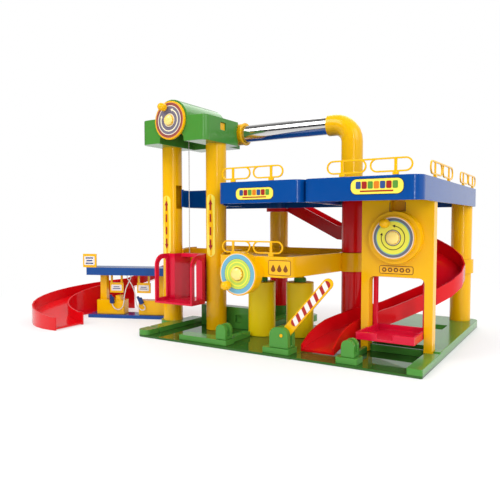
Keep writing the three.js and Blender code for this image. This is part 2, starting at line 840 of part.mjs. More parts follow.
function makeBarrierPost() {
  const z0 = slabHeight + baseTop + seat;
  const x0 = postX - postWidth / 2;
  const x1 = postX + postWidth / 2;
  const y0 = laneY - postDepth / 2 + over;
  const y1 = laneY + postDepth / 2 - over;
  const shape = outline([[x0, z0], [x1, z0], [x1, postTopZ, postWidth / 2 - over],
    [x0, postTopZ, postWidth / 2 - over]], 2 * cornerSides);
  const half = armThickness / 2 + play;
  const slot = box(pivotX - armTail - over, x1 + over, laneY - half, laneY + half, z0 + over,
    postTopZ + over);
  const bore = rodY(pivotX, pivotZ, pinRadius + seat, y0 - over, y1 + over, smallSides);
  return cut(prismY(shape, y0, y1), slot, bore);
}

function makeBarrierArm() {
  const half = armWidth / 2;
  const flat = cut(
    prismY(stadium(-armTail, armLength, -half, half), laneY - armThickness / 2, laneY + armThickness / 2),
    rodY(0, 0, pinRadius + seat, laneY - armThickness, laneY + armThickness, smallSides));
  return flat;
}

piece('left_rest', makeRest(leftRestX), green);
piece('right_rest', makeRest(rightRestX), green);
piece('barrier_post', makeBarrierPost(), green);
const barrierArm = piece('barrier_arm', makeBarrierArm(), yellow);
barrierArm.position.set(pivotX, 0, pivotZ);
barrierArm.rotation.y = -THREE.MathUtils.degToRad(armAngle);
piece('barrier_pin', rodY(pivotX, pivotZ, pinRadius, laneY - postDepth / 2 + over,
  laneY + postDepth / 2 - over, smallSides), yellow);

// Columns
const topFloorUnder = deckTopTop - rimStand - deckFloor - seat;
const notch = box(liftLeftX, liftLeftX + columnRadius + over, liftColumnY - notchWidth / 2,
  liftColumnY + notchWidth / 2, notchZ, notchZ + notchHeight);
[
  ['lift_column_left', cut(column(liftLeftX, liftColumnY, baseTop + seat, liftColumnTop), notch), yellow],
  ['lift_column_right', column(liftRightX, liftColumnY, baseTop + seat, liftColumnTop), yellow],
  ['mid_column_lower', column(midColumnX, midColumnY, baseTop + seat, deckMidBottom - seat), red],
  ['mid_column_upper', column(midColumnX, midColumnY, deckMidTop + seat, topFloorUnder), red],
  ['rear_column_lower', column(rearColumnX, rearColumnY, baseTop + seat, deckMidBottom - seat), red],
  ['rear_column_upper', column(rearColumnX, rearColumnY, deckMidTop + seat, rampTopZ - seat), yellow],
  ['corner_column_lower', column(cornerColumnX, cornerColumnY, baseTop + seat, deckMidBottom), yellow],
].forEach(([name, solid, material]) => {
  piece(name, solid, material);
});

function makeCornerUpper() {
  const collar = columnRadius + seat + cornerCollarWall;
  const z0 = deckMidBottom + seat;
  const sleeve = cut(
    rodZ(cornerColumnX, cornerColumnY, collar, deckMidBottom - cornerCollarDrop / 2,
      deckMidBottom + cornerCollarDrop / 2),
    columnHole(cornerColumnX, cornerColumnY, deckMidBottom - cornerCollarDrop, z0));
  const shell = rodZ(cornerColumnX, cornerColumnY, columnRadius, z0, topFloorUnder);
  return cut(join(sleeve, shell),
    rodZ(cornerColumnX, cornerColumnY, columnRadius - columnWall, 0, deckTopTop));
}

piece('corner_column_upper', makeCornerUpper(), yellow);

// Decks: trays with a rim, a floor and clips round the columns
const clipRadius = columnRadius + seat + clipWall;
const clipRightX = liftRightX + columnRadius + seat;

function deckTray(corners, z0, z1) {
  const inner = outline(inset(corners, deckWall));
  return cut(prismZ(outline(corners), z0, z1), prismZ(inner, z1 - rimStand, z1 + over),
    prismZ(inner, z0 - over, z1 - rimStand - deckFloor));
}

function liftClips(z0, z1) {
  const arm = box(liftLeftX - clipArm / 2, liftLeftX + clipArm / 2, liftColumnY, deckLiftY + deckWall,
    z0, z1);
  const front = box(liftLeftX - 2 * clipRadius, liftRightX + 2 * clipRadius, liftColumnY - 2 * clipRadius,
    liftColumnY + clipBack, z0 - over, z1 + over);
  const rings = [liftLeftX, liftRightX].map((x) => rodZ(x, liftColumnY, clipRadius, z0, z1));
  return cut(join(arm, ...rings), front);
}

function liftHoles(z0, z1) {
  return [liftLeftX, liftRightX].map((x) => columnHole(x, liftColumnY, z0 - over, z1 + over));
}

function leftDeckCorners(frontRight, middle) {
  return [
    [deckFrontX, 0, deckCorner], frontRight, ...middle,
    [deckLeftX, deckBackY, deckCorner], [deckLeftX, deckLiftY, deckCorner],
    [clipRightX, deckLiftY], [clipRightX, liftColumnY]];
}

function dialBore(x, z, y0, y1) {
  return rodY(x, z, dialShaft + play, y0, y1, smallSides);
}

function makeDeckMid() {
  const corners = leftDeckCorners([deckMidRightX, 0, deckCorner],
    [[deckMidBackX - clipWall, midColumnY - clipRadius / 2], [deckMidBackX, deckBackY, deckCorner]]);
  const z0 = deckMidBottom;
  const z1 = deckMidTop;
  const collar = join(rodZ(midColumnX, midColumnY, clipRadius, z0, z1),
    rodZ(rearColumnX, rearColumnY, clipRadius, z0, z1));
  const boss = join(rodY(washX, washZ, washBossRadius, -washBossDepth, 0),
    box(washX - washBossRadius / 2, washX + washBossRadius / 2, -over, deckWall, z0, z1));
  const bossHollow = rodY(washX, washZ, washBossRadius - bossWall, bossWall - washBossDepth, -over);
  const tray = cut(join(deckTray(corners, z0, z1), collar, liftClips(z0, z1)), ...liftHoles(z0, z1));
  const pegs = [[midColumnX, midColumnY], [rearColumnX, rearColumnY]].map(([x, y]) => columnPeg(
    x, y, z0 - pegHeight, z1 + pegHeight));
  const underFloor = z1 - rimStand - deckFloor / 2;
  const idlerPeg = join(rodZ(idlerX, idlerY, idlerSpindle, driveDiscZ - over, underFloor, smallSides),
    rodZ(idlerX, idlerY, idlerHead, driveDiscZ - 2 * over, driveDiscZ - seat, smallSides));
  const hangerY = idlerY - hangerSetback;
  const hanger = box(washX - hangerWidth / 2, washX + hangerWidth / 2, hangerY - hangerDepth, hangerY,
    driveDiscZ + driveDiscThickness + over, underFloor);
  const exitGate = box(deckLeftX - over, deckLeftX + deckWall + over, exitStartY - exitWidth / 2,
    exitStartY + exitWidth / 2, z1 - rimStand, z1 + over);
  return cut(join(tray, ...pegs, boss, idlerPeg, hanger), bossHollow, exitGate,
    dialBore(washX, washZ, -washBossDepth - over, hangerY + over));
}

function makeDeckTopLeft() {
  const corners = leftDeckCorners([deckSplitX - seat, 0, deckCorner], [
    [deckSplitX - seat, deckSplitStepY], [deckSplitBackX - seat, deckSplitStepY],
    [deckSplitBackX - seat, deckBackY, over]]);
  const z0 = deckTopBottom;
  const z1 = deckTopTop;
  const gate = box(rearColumnX - rampGateWidth / 2, rearColumnX + rampGateWidth / 2,
    deckBackY - deckWall - over, deckBackY + over, z1 - rimStand, z1 + over);
  const under = rodZ(rearColumnX, rearColumnY, clipRadius, rampTopZ + landingThickness + seat,
    z1 - rimStand);
  const inside = prismZ(outline(inset(corners, deckWall)), z0 - over, z1);
  return cut(join(deckTray(corners, z0, z1), liftClips(z0, z1), under.intersect(inside)), gate,
    ...liftHoles(z0, z1));
}

function makeDeckTopRight() {
  const corners = [
    [deckSplitX + seat, 0, deckCorner], [deckRightX, 0, deckCorner],
    [deckRightX, deckRightBackY, deckCorner], [deckSplitBackX + seat, deckRightBackY, deckCorner],
    [deckSplitBackX + seat, deckSplitStepY], [deckSplitX + seat, deckSplitStepY]];
  const socketZ = deckTopTop - rimStand;
  const socket = cut(rodZ(midColumnX, crossTubeY, elbowRadius + seat + deckWall, socketZ, deckTopTop),
    rodZ(midColumnX, crossTubeY, elbowRadius + seat, socketZ, deckTopTop + over));
  const tray = join(deckTray(corners, deckTopBottom, deckTopTop), socket);
  const pegs = [[midColumnX, midColumnY], [cornerColumnX, cornerColumnY]].map(([x, y]) => columnPeg(
    x, y, topFloorUnder - pegHeight, topFloorUnder + deckFloor));
  return join(tray, ...pegs);
}

piece('deck_mid', makeDeckMid(), yellow);
piece('deck_top_left', makeDeckTopLeft(), blue);
piece('deck_top_right', makeDeckTopRight(), blue);

// Railings: two loops of wire on two posts
function makeRailing(length) {
  const half = (length - railLoopGap) / 2;
  const z0 = railFootHeight;
  const z1 = railHeight;
  const loops = [0, half + railLoopGap].map((x) => cut(
    prismY(stadium(x, x + half, z0, z1), 0, railWire),
    prismY(stadium(x + railWire, x + half - railWire, z0 + railWire, z1 - railWire), -over,
      railWire + over)));
  const topBar = box(half / 2, length - half / 2, 0, railWire, z1 - railWire, z1);
  const posts = [length * railPostShare, length * (1 - railPostShare)].map((x) => join(
    box(x - railPost / 2, x + railPost / 2, 0, railWire, 0, z1 - railWire / 2),
    box(x - railFootRadius, x + railFootRadius, (railWire - railFootRadius) / 2,
      (railWire + railFootRadius) / 2, 0, railFootHeight)));
  return join(loops[0], loops[1], topBar, ...posts);
}

[
  ['front_left_railing', railLeftX, railLeftLength, deckTopTop],
  ['front_right_railing', railRightX, railRightLength, deckTopTop],
  ['mid_railing', railLeftX, railLeftLength, deckMidTop],
].forEach(([name, x, length, z]) => {
  piece(name, makeRailing(length), yellow).position.set(x, railInset - railWire, z + seat);
});
[['side_front_railing', railSideY], ['side_rear_railing', railSideRearY]].forEach(([name, y]) => {
  const railing = piece(name, makeRailing(railSideLength), yellow);
  railing.position.set(deckRightX - railInset + railWire, y, deckTopTop + seat);
  railing.rotation.z = Math.PI / 2;
});

// Service tower with its dial boss, bay and window slot
function makeTower() {
  const y1 = towerFrontY + towerDepth;
  const z0 = towerFootZ + seat;
  const bayLeft = towerLeftX + towerLeg;
  const bayRight = towerRightX - towerLeg;
  const frame = prismY(outline([
    [towerLeftX, z0], [bayLeft, z0], [bayLeft, bayTopZ, bayCorner], [bayRight, bayTopZ, bayCorner],
    [bayRight, z0], [towerRightX, z0], [towerRightX, topFloorUnder], [towerLeftX, topFloorUnder]]),
  towerFrontY, y1);
  const boss = rodY(serviceX, serviceZ, serviceBossRadius, towerFrontY - serviceBossDepth, y1 - over);
  const hollow = rodY(serviceX, serviceZ, serviceBossRadius - bossWall,
    towerFrontY - serviceBossDepth + bossWall, y1 - bossWall);
  const back = rodY(serviceX, serviceZ, serviceBossRadius - bossWall, towerFrontY, y1 + over);
  const slot = box(slotLeftX, slotRightX, towerFrontY - over, y1 - bossWall, slotBottomZ + bossWall,
    deckTopBottom + bossWall);
  const legSockets = [towerLeftX + towerLeg / 2, towerRightX - towerLeg / 2].map((x) => box(
    x - towerLeg / 4 - seat, x + towerLeg / 4 + seat, towerFrontY + towerDepth / 4 - seat,
    towerFrontY + (towerDepth * 3) / 4 + seat, 0, towerFootZ + pegHeight + seat));
  const bridge = box(serviceX - dialShaft * 2, serviceX + dialShaft * 2, y1 - bossWall, y1,
    serviceZ - serviceBossRadius, serviceZ + serviceBossRadius);
  return cut(join(cut(join(frame, boss), hollow, back), bridge.intersect(frame)), slot, ...legSockets,
    dialBore(serviceX, serviceZ, 0, y1 + over));
}

piece('service_tower', makeTower(), yellow);

// Dials, each with a bore for its shaft and one for its knob, and a raised hub
function onCircle(radius, angle) {
  const turn = THREE.MathUtils.degToRad(angle);
  return new THREE.Vector2(Math.cos(turn), Math.sin(turn)).multiplyScalar(radius * knobCircleShare);
}

function makeDial(x, z, yBack, radius, knobAngle) {
  const spot = onCircle(radius, knobAngle);
  const front = yBack - dialThickness;
  const disc = join(rodY(x, z, radius, front, yBack),
    rodY(x, z, hubRadius, front - hubHeight, yBack, smallSides));
  return cut(disc, rodY(x, z, dialShaft + seat, front - hubHeight / 2, yBack + over, smallSides),
    rodY(x + spot.x, z + spot.y, knobStem + seat, front - over, yBack + over, smallSides));
}

function makeKnob(x, z, yBack, radius, knobAngle) {
  const spot = onCircle(radius, knobAngle);
  const front = dialThickness + knobLift;
  const ballY = -front - knobHeight + knobRadius;
  const round = Array.from({ length: cornerSides + 1 }, (_, i) => {
    const angle = ((i / cornerSides) * Math.PI) / 2;
    return new THREE.Vector2(knobRadius * Math.cos(angle), ballY - knobRadius * Math.sin(angle));
  });
  round[cornerSides].x = 0;
  const stem = [[0, 0], [knobStem, 0], [knobStem, -front], [knobRadius, -front]];
  const profile = [...stem.map(([a, b]) => new THREE.Vector2(a, b)), ...round];
  return solidOf(new THREE.LatheGeometry(profile, smallSides).translate(x + spot.x, yBack, z + spot.y));
}

const washDialBack = -washBossDepth - play;
const serviceDialBack = towerFrontY - serviceBossDepth - play;
const liftDialBack = headFrontY - play;
[
  ['lift', barrelX, barrelZ, liftDialBack, liftDialRadius, liftKnobAngle],
  ['service', serviceX, serviceZ, serviceDialBack, serviceDialRadius, serviceKnobAngle],
  ['wash', washX, washZ, washDialBack, washDialRadius, washKnobAngle],
].forEach(([name, ...sizes]) => {
  piece(`${name}_dial`, makeDial(...sizes), yellow);
  piece(`${name}_knob`, makeKnob(...sizes), yellow);
});

// Lift head: a shell over both columns with a barrel for the winch
function makeHead() {
  const cavityLeft = liftLeftX + columnRadius + headWall;
  const cavityRight = liftRightX - columnRadius - headWall;
  const body = prismZ(outline([
    [headLeftX, headFrontY, headCorner], [headRightX, headFrontY, headCorner],
    [headRightX, headBackY, over], [headLeftX, headBackY, headCorner]]), headBottom, headTop);
  const tail = box(tailLeftX, tailRightX, headBackY - over, tailBackY, headBottom, headTop);
  const hood = cut(rodY(barrelX, barrelZ, barrelRadius, barrelBackY - over, hoodBackY),
    rodY(barrelX, barrelZ, barrelRadius - headWall, barrelBackY, hoodBackY + over),
    box(headLeftX, headRightX, headFrontY, tailBackY, headBottom - over, headTop - over));
  const barrel = rodY(barrelX, barrelZ, barrelRadius, headFrontY, barrelBackY);
  const barrelHollow = rodY(barrelX, barrelZ, barrelRadius - headWall, headFrontY + headWall,
    barrelBackY - headWall);
  const cavity = box(cavityLeft, cavityRight, headFrontY + headWall, headBackY - headWall, headBottom - over,
    barrelZ);
  const sockets = [liftLeftX, liftRightX].map((x) => columnHole(x, liftColumnY, headBottom - over,
    liftColumnTop + seat));
  const notch = rodY(barrelX, headBottom, (cavityRight - cavityLeft) / 2 - headWall, headFrontY - over,
    headFrontY + headWall + over);
  const window = box(liftRightX, headRightX + over, windowFrontY, windowBackY, windowBottom, windowTop);
  const collarRoom = rodX(crossTubeY, crossTubeZ, collarRadius + over, tailRightX, headRightX + over);
  const tubeBore = rodX(crossTubeY, crossTubeZ, collarRadius - collarWall, tailLeftX + headWall,
    tailRightX + over);
  return cut(join(body, tail, barrel, hood), cavity, barrelHollow, ...sockets, notch, window, collarRoom,
    tubeBore, dialBore(barrelX, barrelZ, 0, barrelBackY + over));
}

function makeDrum() {
  const y0 = headFrontY + headWall + play + drumFlangeThickness;
  const front = liftColumnY - drumGap / 2;
  const back = liftColumnY + drumGap / 2 - over;
  const drum = rodY(barrelX, barrelZ, drumRadius, front, back);
  const flanges = [front, back].map((y) => rodY(barrelX, barrelZ, drumFlange, y - drumFlangeThickness, y));
  const axle = rodY(barrelX, barrelZ, dialShaft, liftDialBack - dialThickness, barrelBackY, smallSides);
  const collar = rodY(barrelX, barrelZ, dialShaft * 2, y0 - drumFlangeThickness, y0, smallSides);
  return join(drum, ...flanges, axle, collar);
}

piece('lift_head', makeHead(), green);
piece('winch_drum', makeDrum(), yellow);

// Lift cage between the columns, and the cord that carries it
const cageNarrow = liftRightX - liftLeftX - 2 * (clipRadius + play);
const cageShoulderY = liftColumnY - clipRadius - play;
const cageTopZ = cageFloorZ + cageHeight;
const cordX = barrelX - drumRadius - cordDiameter / 2 - seat;

function makeCage() {
  const z0 = cageFloorZ;
  const wide = cageWidth / 2;
  const narrow = cageNarrow / 2;
  const plan = (wall, mouth) => [
    [-wide + wall, cageFrontY - mouth], [wide - wall, cageFrontY - mouth],
    [wide - wall, cageShoulderY - wall], [narrow - wall, cageShoulderY - wall],
    [narrow - wall, cageRearY + mouth], [-narrow + wall, cageRearY + mouth],
    [-narrow + wall, cageShoulderY - wall], [-wide + wall, cageShoulderY - wall],
  ].map(([x, y]) => new THREE.Vector2(liftMiddleX + x, y));
  const walls = cut(prismZ(plan(0, 0), z0, cageTopZ),
    prismZ(plan(cageWall, over), z0 + cageFloorThickness, cageTopZ + over));
  const windowFront = cageFrontY + cageFrameWidth;
  const windowBack = cageShoulderY - cageFrameWidth;
  const windowTopZ = cageTopZ - cageFrameWidth;
  const windows = prismX(outline([
    [windowFront, z0 + cageFrameWidth], [windowBack, z0 + cageFrameWidth],
    [windowBack, windowTopZ, cageFrameWidth / 2],
    [windowFront, windowTopZ, cageFrontRound - cageFrameWidth]]),
  liftMiddleX - cageWidth, liftMiddleX + cageWidth);
  const corner = box(liftMiddleX - cageWidth, liftMiddleX + cageWidth, cageFrontY - over,
    cageFrontY + cageFrontRound, cageTopZ - cageFrontRound, cageTopZ + over);
  const round = rodX(cageFrontY + cageFrontRound, cageTopZ - cageFrontRound, cageFrontRound,
    liftMiddleX - cageWidth, liftMiddleX + cageWidth);
  const pitch = (cageShoulderY - cageFrontY) / cageSlatCount;
  const slots = Array.from({ length: cageSlatCount - 1 }, (_, i) => {
    const y = cageFrontY + pitch * (i + 1);
    return box(liftMiddleX - wide + cageFrameWidth, liftMiddleX + wide - cageFrameWidth, y,
      y + pitch - cageSlat, z0 - over, z0 + cageFloorThickness + over);
  });
  const bridge = box(liftMiddleX - narrow, liftMiddleX + narrow, liftColumnY - cageBridgeDepth / 2,
    liftColumnY + cageBridgeDepth / 2, cageTopZ - cageBridgeHeight, cageTopZ);
  return join(cut(walls, windows, cut(corner, round), ...slots), bridge);
}

piece('lift_cage', makeCage(), cageRed);
piece('lift_cord', rodZ(cordX, liftColumnY, cordDiameter / 2, cageTopZ + seat, barrelZ, cordSides), white);

// Tube collar, chrome tube and elbow pipe between the head and the right deck
function makeCollar() {
  const x0 = tailLeftX + headWall * 2;
  const x1 = tailRightX + collarLength;
  const spigot = rodX(crossTubeY, crossTubeZ, collarRadius - collarWall - seat, x0, x1);
  const sleeve = rodX(crossTubeY, crossTubeZ, collarRadius, tailRightX + seat, x1);
  const flange = rodX(crossTubeY, crossTubeZ, collarRadius + over / 2, x1 - collarFlange, x1);
  return cut(join(spigot, sleeve, flange),
    rodX(crossTubeY, crossTubeZ, chromeRadius - chromeWall - seat, x0 - over, tailRightX),
    rodX(crossTubeY, crossTubeZ, chromeRadius + seat, tailRightX, x1 + over));
}

function makeElbow() {
  const bend = elbowBend;
  const corner = new THREE.Vector3(midColumnX, crossTubeY, crossTubeZ);
  const stops = [];
  stops.push({ at: new THREE.Vector3(elbowSocketX, corner.y, corner.z), angle: 0 });
  for (let i = 0; i <= elbowSteps; i += 1) {
    const angle = (i / elbowSteps) * (Math.PI / 2);
    stops.push({ at: new THREE.Vector3(corner.x - bend + bend * Math.sin(angle), corner.y,
      corner.z - bend + bend * Math.cos(angle)), angle });
  }
  const foot = new THREE.Vector3(corner.x, corner.y, deckTopTop - rimStand + seat);
  stops.push({ at: foot, angle: Math.PI / 2 });
  const tube = (radius, extra) => {
    const section = circle(0, 0, radius, columnSides);
    const ends = new Map([[0, -extra], [stops.length - 1, extra]]);
    const rings = stops.map(({ at, angle }, i) => {
      const along = ends.get(i) ?? 0;
      return section.map((p) => new THREE.Vector3(
        at.x + along * Math.cos(angle) + p.y * Math.sin(angle), at.y + p.x,
        at.z - along * Math.sin(angle) + p.y * Math.cos(angle)));
    });
    return loft(rings, section);
  };
  return cut(tube(elbowRadius, 0), tube(elbowRadius - elbowWall, over));
}

piece('tube_collar', makeCollar(), yellow);
const chromeEndX = elbowSocketX + pegHeight;
piece('chrome_tube', cut(rodX(crossTubeY, crossTubeZ, chromeRadius, tailRightX + seat, chromeEndX),
  rodX(crossTubeY, crossTubeZ, chromeRadius - chromeWall, tailRightX - over, chromeEndX + over)), chrome);
piece('elbow_pipe', makeElbow(), yellow);

// Spiral ramp in three lengths, from its mouth on the base up to the back of the left deck
function arcLength(radius, angle) {
  return radius * THREE.MathUtils.degToRad(angle);
}

const rampRuns = stations(rampMouthX, rampMouthY, rampMouthAngle, rampFootZ, [
  {
    length: arcLength(rampEntryRadius, rampEntryAngle),
    turn: -rampEntryAngle,
    rise: rampEntryZ - rampFootZ,
  },
  { length: rampRun, rise: rampRunZ - rampEntryZ },
  { length: arcLength(rampTurnRadius, rampTurnAngle), turn: rampTurnAngle, rise: rampTurnZ - rampRunZ },
  { length: rampBackRun, rise: rampBackZ - rampTurnZ },
  { length: rampTopRun, rise: rampTopZ - rampBackZ },
]);

function shorten(run) {
  const short = run.map((station) => ({ ...station }));
  short[0].x += Math.cos(short[0].angle) * seat;
  short[0].y += Math.sin(short[0].angle) * seat;
  return short;
}

const [entryRun, straightRun, turnRun, backRun, topRun] = rampRuns;
piece('ramp_lower', channel([...entryRun, straightRun[1]], rampWidth, rampRim, mouthRimShares), red);
piece('ramp_turn', channel(shorten(turnRun), rampWidth, rampRim), red);
const rampEnd = topRun[topRun.length - 1];
const landing = box(rampEnd.x - landingLength, rampEnd.x + over, rearColumnY - columnRadius,
  rampEnd.y + rampWidth / 2, rampTopZ, rampTopZ + landingThickness);
piece('ramp_upper', join(channel([...shorten(backRun), topRun[1]], rampWidth, rampRim), landing), red);

// Exit ramp from the mid deck down to the floor
const exitRuns = stations(exitStartX, exitStartY, exitHeadingAngle, exitTopZ, [
  { length: exitRun, rise: exitRunZ - exitTopZ },
  { length: arcLength(exitRadius, exitTurnAngle), turn: exitTurnAngle, rise: exitFootZ - exitRunZ },
  { length: exitTail, rise: 0 },
]);
const exitLanding = prismY([[deckLeftX - seat, deckMidBottom], [deckLeftX - seat, deckMidTop - rimStand],
  [exitStartX - exitLip, exitTopZ - rampWall], [exitStartX - exitLip, exitTopZ - 2 * rampFloor],
  [exitStartX, exitTopZ]].map(([x, z]) => new THREE.Vector2(x, z)), exitStartY - exitLandingWidth / 2,
exitStartY + exitLandingWidth / 2);
piece('exit_ramp', join(channel(exitRuns[0], exitWidth, exitRim), exitLanding), red);
piece('exit_ramp_curve', skirtedChannel([...shorten(exitRuns[1]), exitRuns[2][1]], exitWidth), red);

// Car wash: the dial's rubber wheel turns a hanging disc, whose rim turns the discs of both rollers
function makeRoller(x, y) {
  const reach = Math.hypot(x - idlerX, y - idlerY) - idlerRadius - seat;
  const z0 = baseTop + seat;
  const hollow = cut(rodZ(x, y, rollerRadius - rollerWall, z0 - over, rollerTop - rollerWall),
    rodZ(x, y, rollerCap, z0 - 2 * over, rollerTop, smallSides));
  const drum = cut(rodZ(x, y, rollerRadius, z0, rollerTop), hollow, rodZ(x, y, rollerSpindle + play / 2, 0,
    baseTop + pegHeight + seat, smallSides));
  const neck = rodZ(x, y, rollerCap, rollerTop - over, driveDiscZ + over, smallSides);
  return join(drum, neck, rodZ(x, y, reach, driveDiscZ, driveDiscZ + driveDiscThickness));
}

function makeWashIdler() {
  const z1 = driveDiscZ + driveDiscThickness;
  return cut(rodZ(idlerX, idlerY, idlerRadius, driveDiscZ, z1), rodZ(idlerX, idlerY, idlerSpindle + seat,
    driveDiscZ - over, z1 + over, smallSides));
}

function makeWashShaft() {
  const wheelY = idlerY - driveWheelSetback;
  const wheelRadius = washZ - driveDiscZ - driveDiscThickness - seat;
  const front = wheelY - driveWheelWidth / 2;
  const back = wheelY + driveWheelWidth / 2;
  return join(rodY(washX, washZ, dialShaft, washDialBack - dialThickness, back, smallSides),
    rodY(washX, washZ, wheelRadius, front, back));
}

piece('wash_roller_front', makeRoller(rollerOneX, rollerOneY), rollerYellow);
piece('wash_roller_back', makeRoller(rollerTwoX, rollerTwoY), rollerYellow);
piece('wash_idler', makeWashIdler(), rubber);
piece('wash_shaft', makeWashShaft(), rubber);

// Service platform with its guides and rack, and the pinion that drives it
const pinionPitch = (toothCount * toothModule) / 2;
const rackPitchX = serviceX + pinionPitch;
const mechanismY = towerFrontY + towerDepth + play;

function makePlatform() {
  const z0 = platformFloorZ;
  const lip = z0 + platformLip;
  const left = towerLeftX + platformSetback;
  const right = towerRightX - towerLeg - play;
  const bayLeft = towerLeftX + towerLeg + play;
  const front = towerFrontY - play * 2;
  const plate = join(box(left, right, platformFrontY, front, z0, lip),
    box(bayLeft, right, front - over, platformBackY, z0, lip));
  const floor = join(
    box(left + platformThickness, right - platformThickness, platformFrontY + platformThickness,
      front - platformThickness, z0 + platformThickness, lip + over),
    box(bayLeft + platformThickness, right - platformThickness, front - platformThickness - over,
      platformBackY - platformThickness, z0 + platformThickness, lip + over));
  const middle = (left + right) / 2;
  const gap = box(middle - platformGap / 2, middle + platformGap / 2, platformFrontY - over,
    platformFrontY + platformThickness + over, z0 + platformThickness, lip + over);
  const posts = [bayLeft, right - platformPost].map((x) => box(x, x + platformPost, mechanismY,
    mechanismY + rackDepth, z0, platformPostTop));
  const crossZ = platformPostTop - platformPost;
  const cross = box(bayLeft, right, mechanismY, mechanismY + rackDepth, crossZ, platformPostTop);
  const rack = prismY(rackOutline(rackPitchX, rackPitchX + rackWidth, crossZ, rackTop, serviceZ),
    mechanismY, mechanismY + rackDepth);
  return join(cut(plate, floor, gap), ...posts, cross, rack);
}

function makePinion() {
  const wheel = prismY(gearOutline(serviceX, serviceZ, 0), mechanismY, mechanismY + pinionWidth);
  const shaft = rodY(serviceX, serviceZ, dialShaft, serviceDialBack - dialThickness, mechanismY + over,
    smallSides);
  return join(wheel, shaft);
}

piece('service_platform', makePlatform(), cageRed);
piece('service_pinion', makePinion(), yellow);

// Filling station
const station = new THREE.Group();
station.position.set(stationX, stationY, 0);
station.rotation.z = THREE.MathUtils.degToRad(stationAngle);
garage.add(station);
const roofTop = roofBottom + roofThickness;
const pumpY = (stationDepth - pumpDepth) / 2;
const rightPumpX = stationLength - pumpEndInset - pumpLength;
const columnSpotLeft = pumpEndInset + pumpColumnInset;
const columnSpotRight = rightPumpX + pumpLength - pumpColumnInset - pumpColumn;

function makePump(x0, columnX) {
  const z0 = stationBaseHeight + seat;
  const z1 = z0 + pumpHeight;
  const x1 = x0 + pumpLength;
  const y1 = pumpY + pumpDepth;
  const columnY = (stationDepth - pumpColumn) / 2;
  const nubLeft = x0 + pumpNubLeft;
  const nubRight = nubLeft + pumpNubWidth;
  const nub = [[nubLeft, z0 + pumpHeight / 2], [nubRight, z0 + pumpHeight / 2], [nubRight, z1],
    [nubRight - over, z1 + pumpNubHeight], [nubLeft, z1 + pumpNubHeight]];
  return join(
    prismZ(outline([[x0, pumpY, over], [x1, pumpY, over], [x1, y1, over], [x0, y1, over]], 2), z0, z1),
    box(columnX, columnX + pumpColumn, columnY, columnY + pumpColumn, z0 + pumpHeight / 2,
      roofTop - roofShell - seat),
    prismY(outline(nub), pumpY + over, columnY + pumpColumn));
}

function makeRoof() {
  const edge = -roofOverhang;
  const inside = edge + roofShell;
  const outer = box(edge, stationLength - edge, edge, stationDepth - edge, roofBottom, roofTop);
  const inner = box(inside, stationLength - inside, inside, stationDepth - inside, roofBottom - over,
    roofTop - roofShell);
  const hook = box(hookLeftX, hookLeftX + hookWidth, edge + roofShell / 2, inside + hookDepth, roofBottom,
    roofTop - roofShell / 2);
  return join(cut(outer, inner), hook);
}

function makeHangingSign(middleX) {
  const y0 = pumpY + over;
  const z1 = roofBottom - hangSignDrop;
  const plate = box(middleX - hangSignWidth / 2, middleX + hangSignWidth / 2, y0, y0 + signThickness,
    z1 - hangSignHeight, z1);
  const straps = [-1, 1].map((side) => {
    const strapX = middleX + side * (hangSignWidth / 2 - hangStrap);
    return box(strapX - hangStrap / 2, strapX + hangStrap / 2, y0, y0 + signThickness, z1 - over,
      roofTop - roofShell - seat);
  });
  return join(plate, ...straps);
}

function makeRoofSign() {
  const y0 = -roofOverhang;
  const z0 = roofTop + seat;
  const x0 = -roofOverhang - roofSignWidth / 4;
  return box(x0, x0 + roofSignWidth, y0, y0 + signThickness, z0, z0 + roofSignHeight);
}

piece('station_base', box(-over, stationLength + over, 0, stationDepth, 0, stationBaseHeight), blue,
  station);
piece('station_roof', makeRoof(), blue, station);
piece('station_sign', makeRoofSign(), yellow, station);
piece('pump_left', makePump(pumpEndInset, columnSpotLeft), yellow, station);
piece('pump_right', makePump(rightPumpX, columnSpotRight), yellow, station);
piece('pump_sign_left', makeHangingSign(hangSignLeftX), yellow, station);
piece('pump_sign_right', makeHangingSign(hangSignRightX), yellow, station);

// Nozzles on the fronts of the pumps, and the hoses that hang to them
function makeNozzle() {
  const half = nozzleWidth / 2;
  const top = nozzleHeight + nozzleTip;
  return prismY(outline([[-half, 0, over / 2], [half, 0, over / 2], [half, nozzleHeight, over],
    [0, nozzleHeight], [-over / 2, top], [-half, top]], 2), 0, nozzleThickness);
}

function makeHose(route) {
  const path = new THREE.CatmullRomCurve3(route.map(([x, y, z]) => new THREE.Vector3(x, y, z)));
  const section = new THREE.Shape(circle(0, 0, hoseDiameter / 2, cordSides));
  const steps = Math.min(Math.round(path.getLength() / hoseStep), cordStepLimit);
  return solidOf(new THREE.ExtrudeGeometry(section, { steps, extrudePath: path, bevelEnabled: false }));
}

[
  ['nozzle_left', nozzleLeftX, 0],
  ['nozzle_right', nozzleRightX, nozzleRightAngle],
].forEach(([name, x, turn]) => {
  const nozzle = piece(name, makeNozzle(), blue, station);
  nozzle.position.set(x, pumpY - nozzleThickness - seat, nozzleZ);
  nozzle.rotation.y = -THREE.MathUtils.degToRad(turn);
});
piece('hose_left', makeHose(hoseLeftRoute), white, station);
piece('hose_right', makeHose(hoseRightRoute), white, station);

const toy = new THREE.Group();
toy.add(garage);
garage.position.set(-(baseLeftX + baseRightX) / 2, -(baseFrontY + baseRightBackY) / 2, 0);

export default toy;
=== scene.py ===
"""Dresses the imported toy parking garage: moulded shells, printed labels, cords and soft studio light.

Every length is in metres in the frame's own coordinates: X to the right along the front, Y to the back, Z up.
"""
import json
import logging
import math
from dataclasses import dataclass
from enum import Enum
from typing import Dict, Iterable, List, Optional, Sequence, Tuple, Union

import bmesh
import bpy
from mathutils import Matrix, Vector


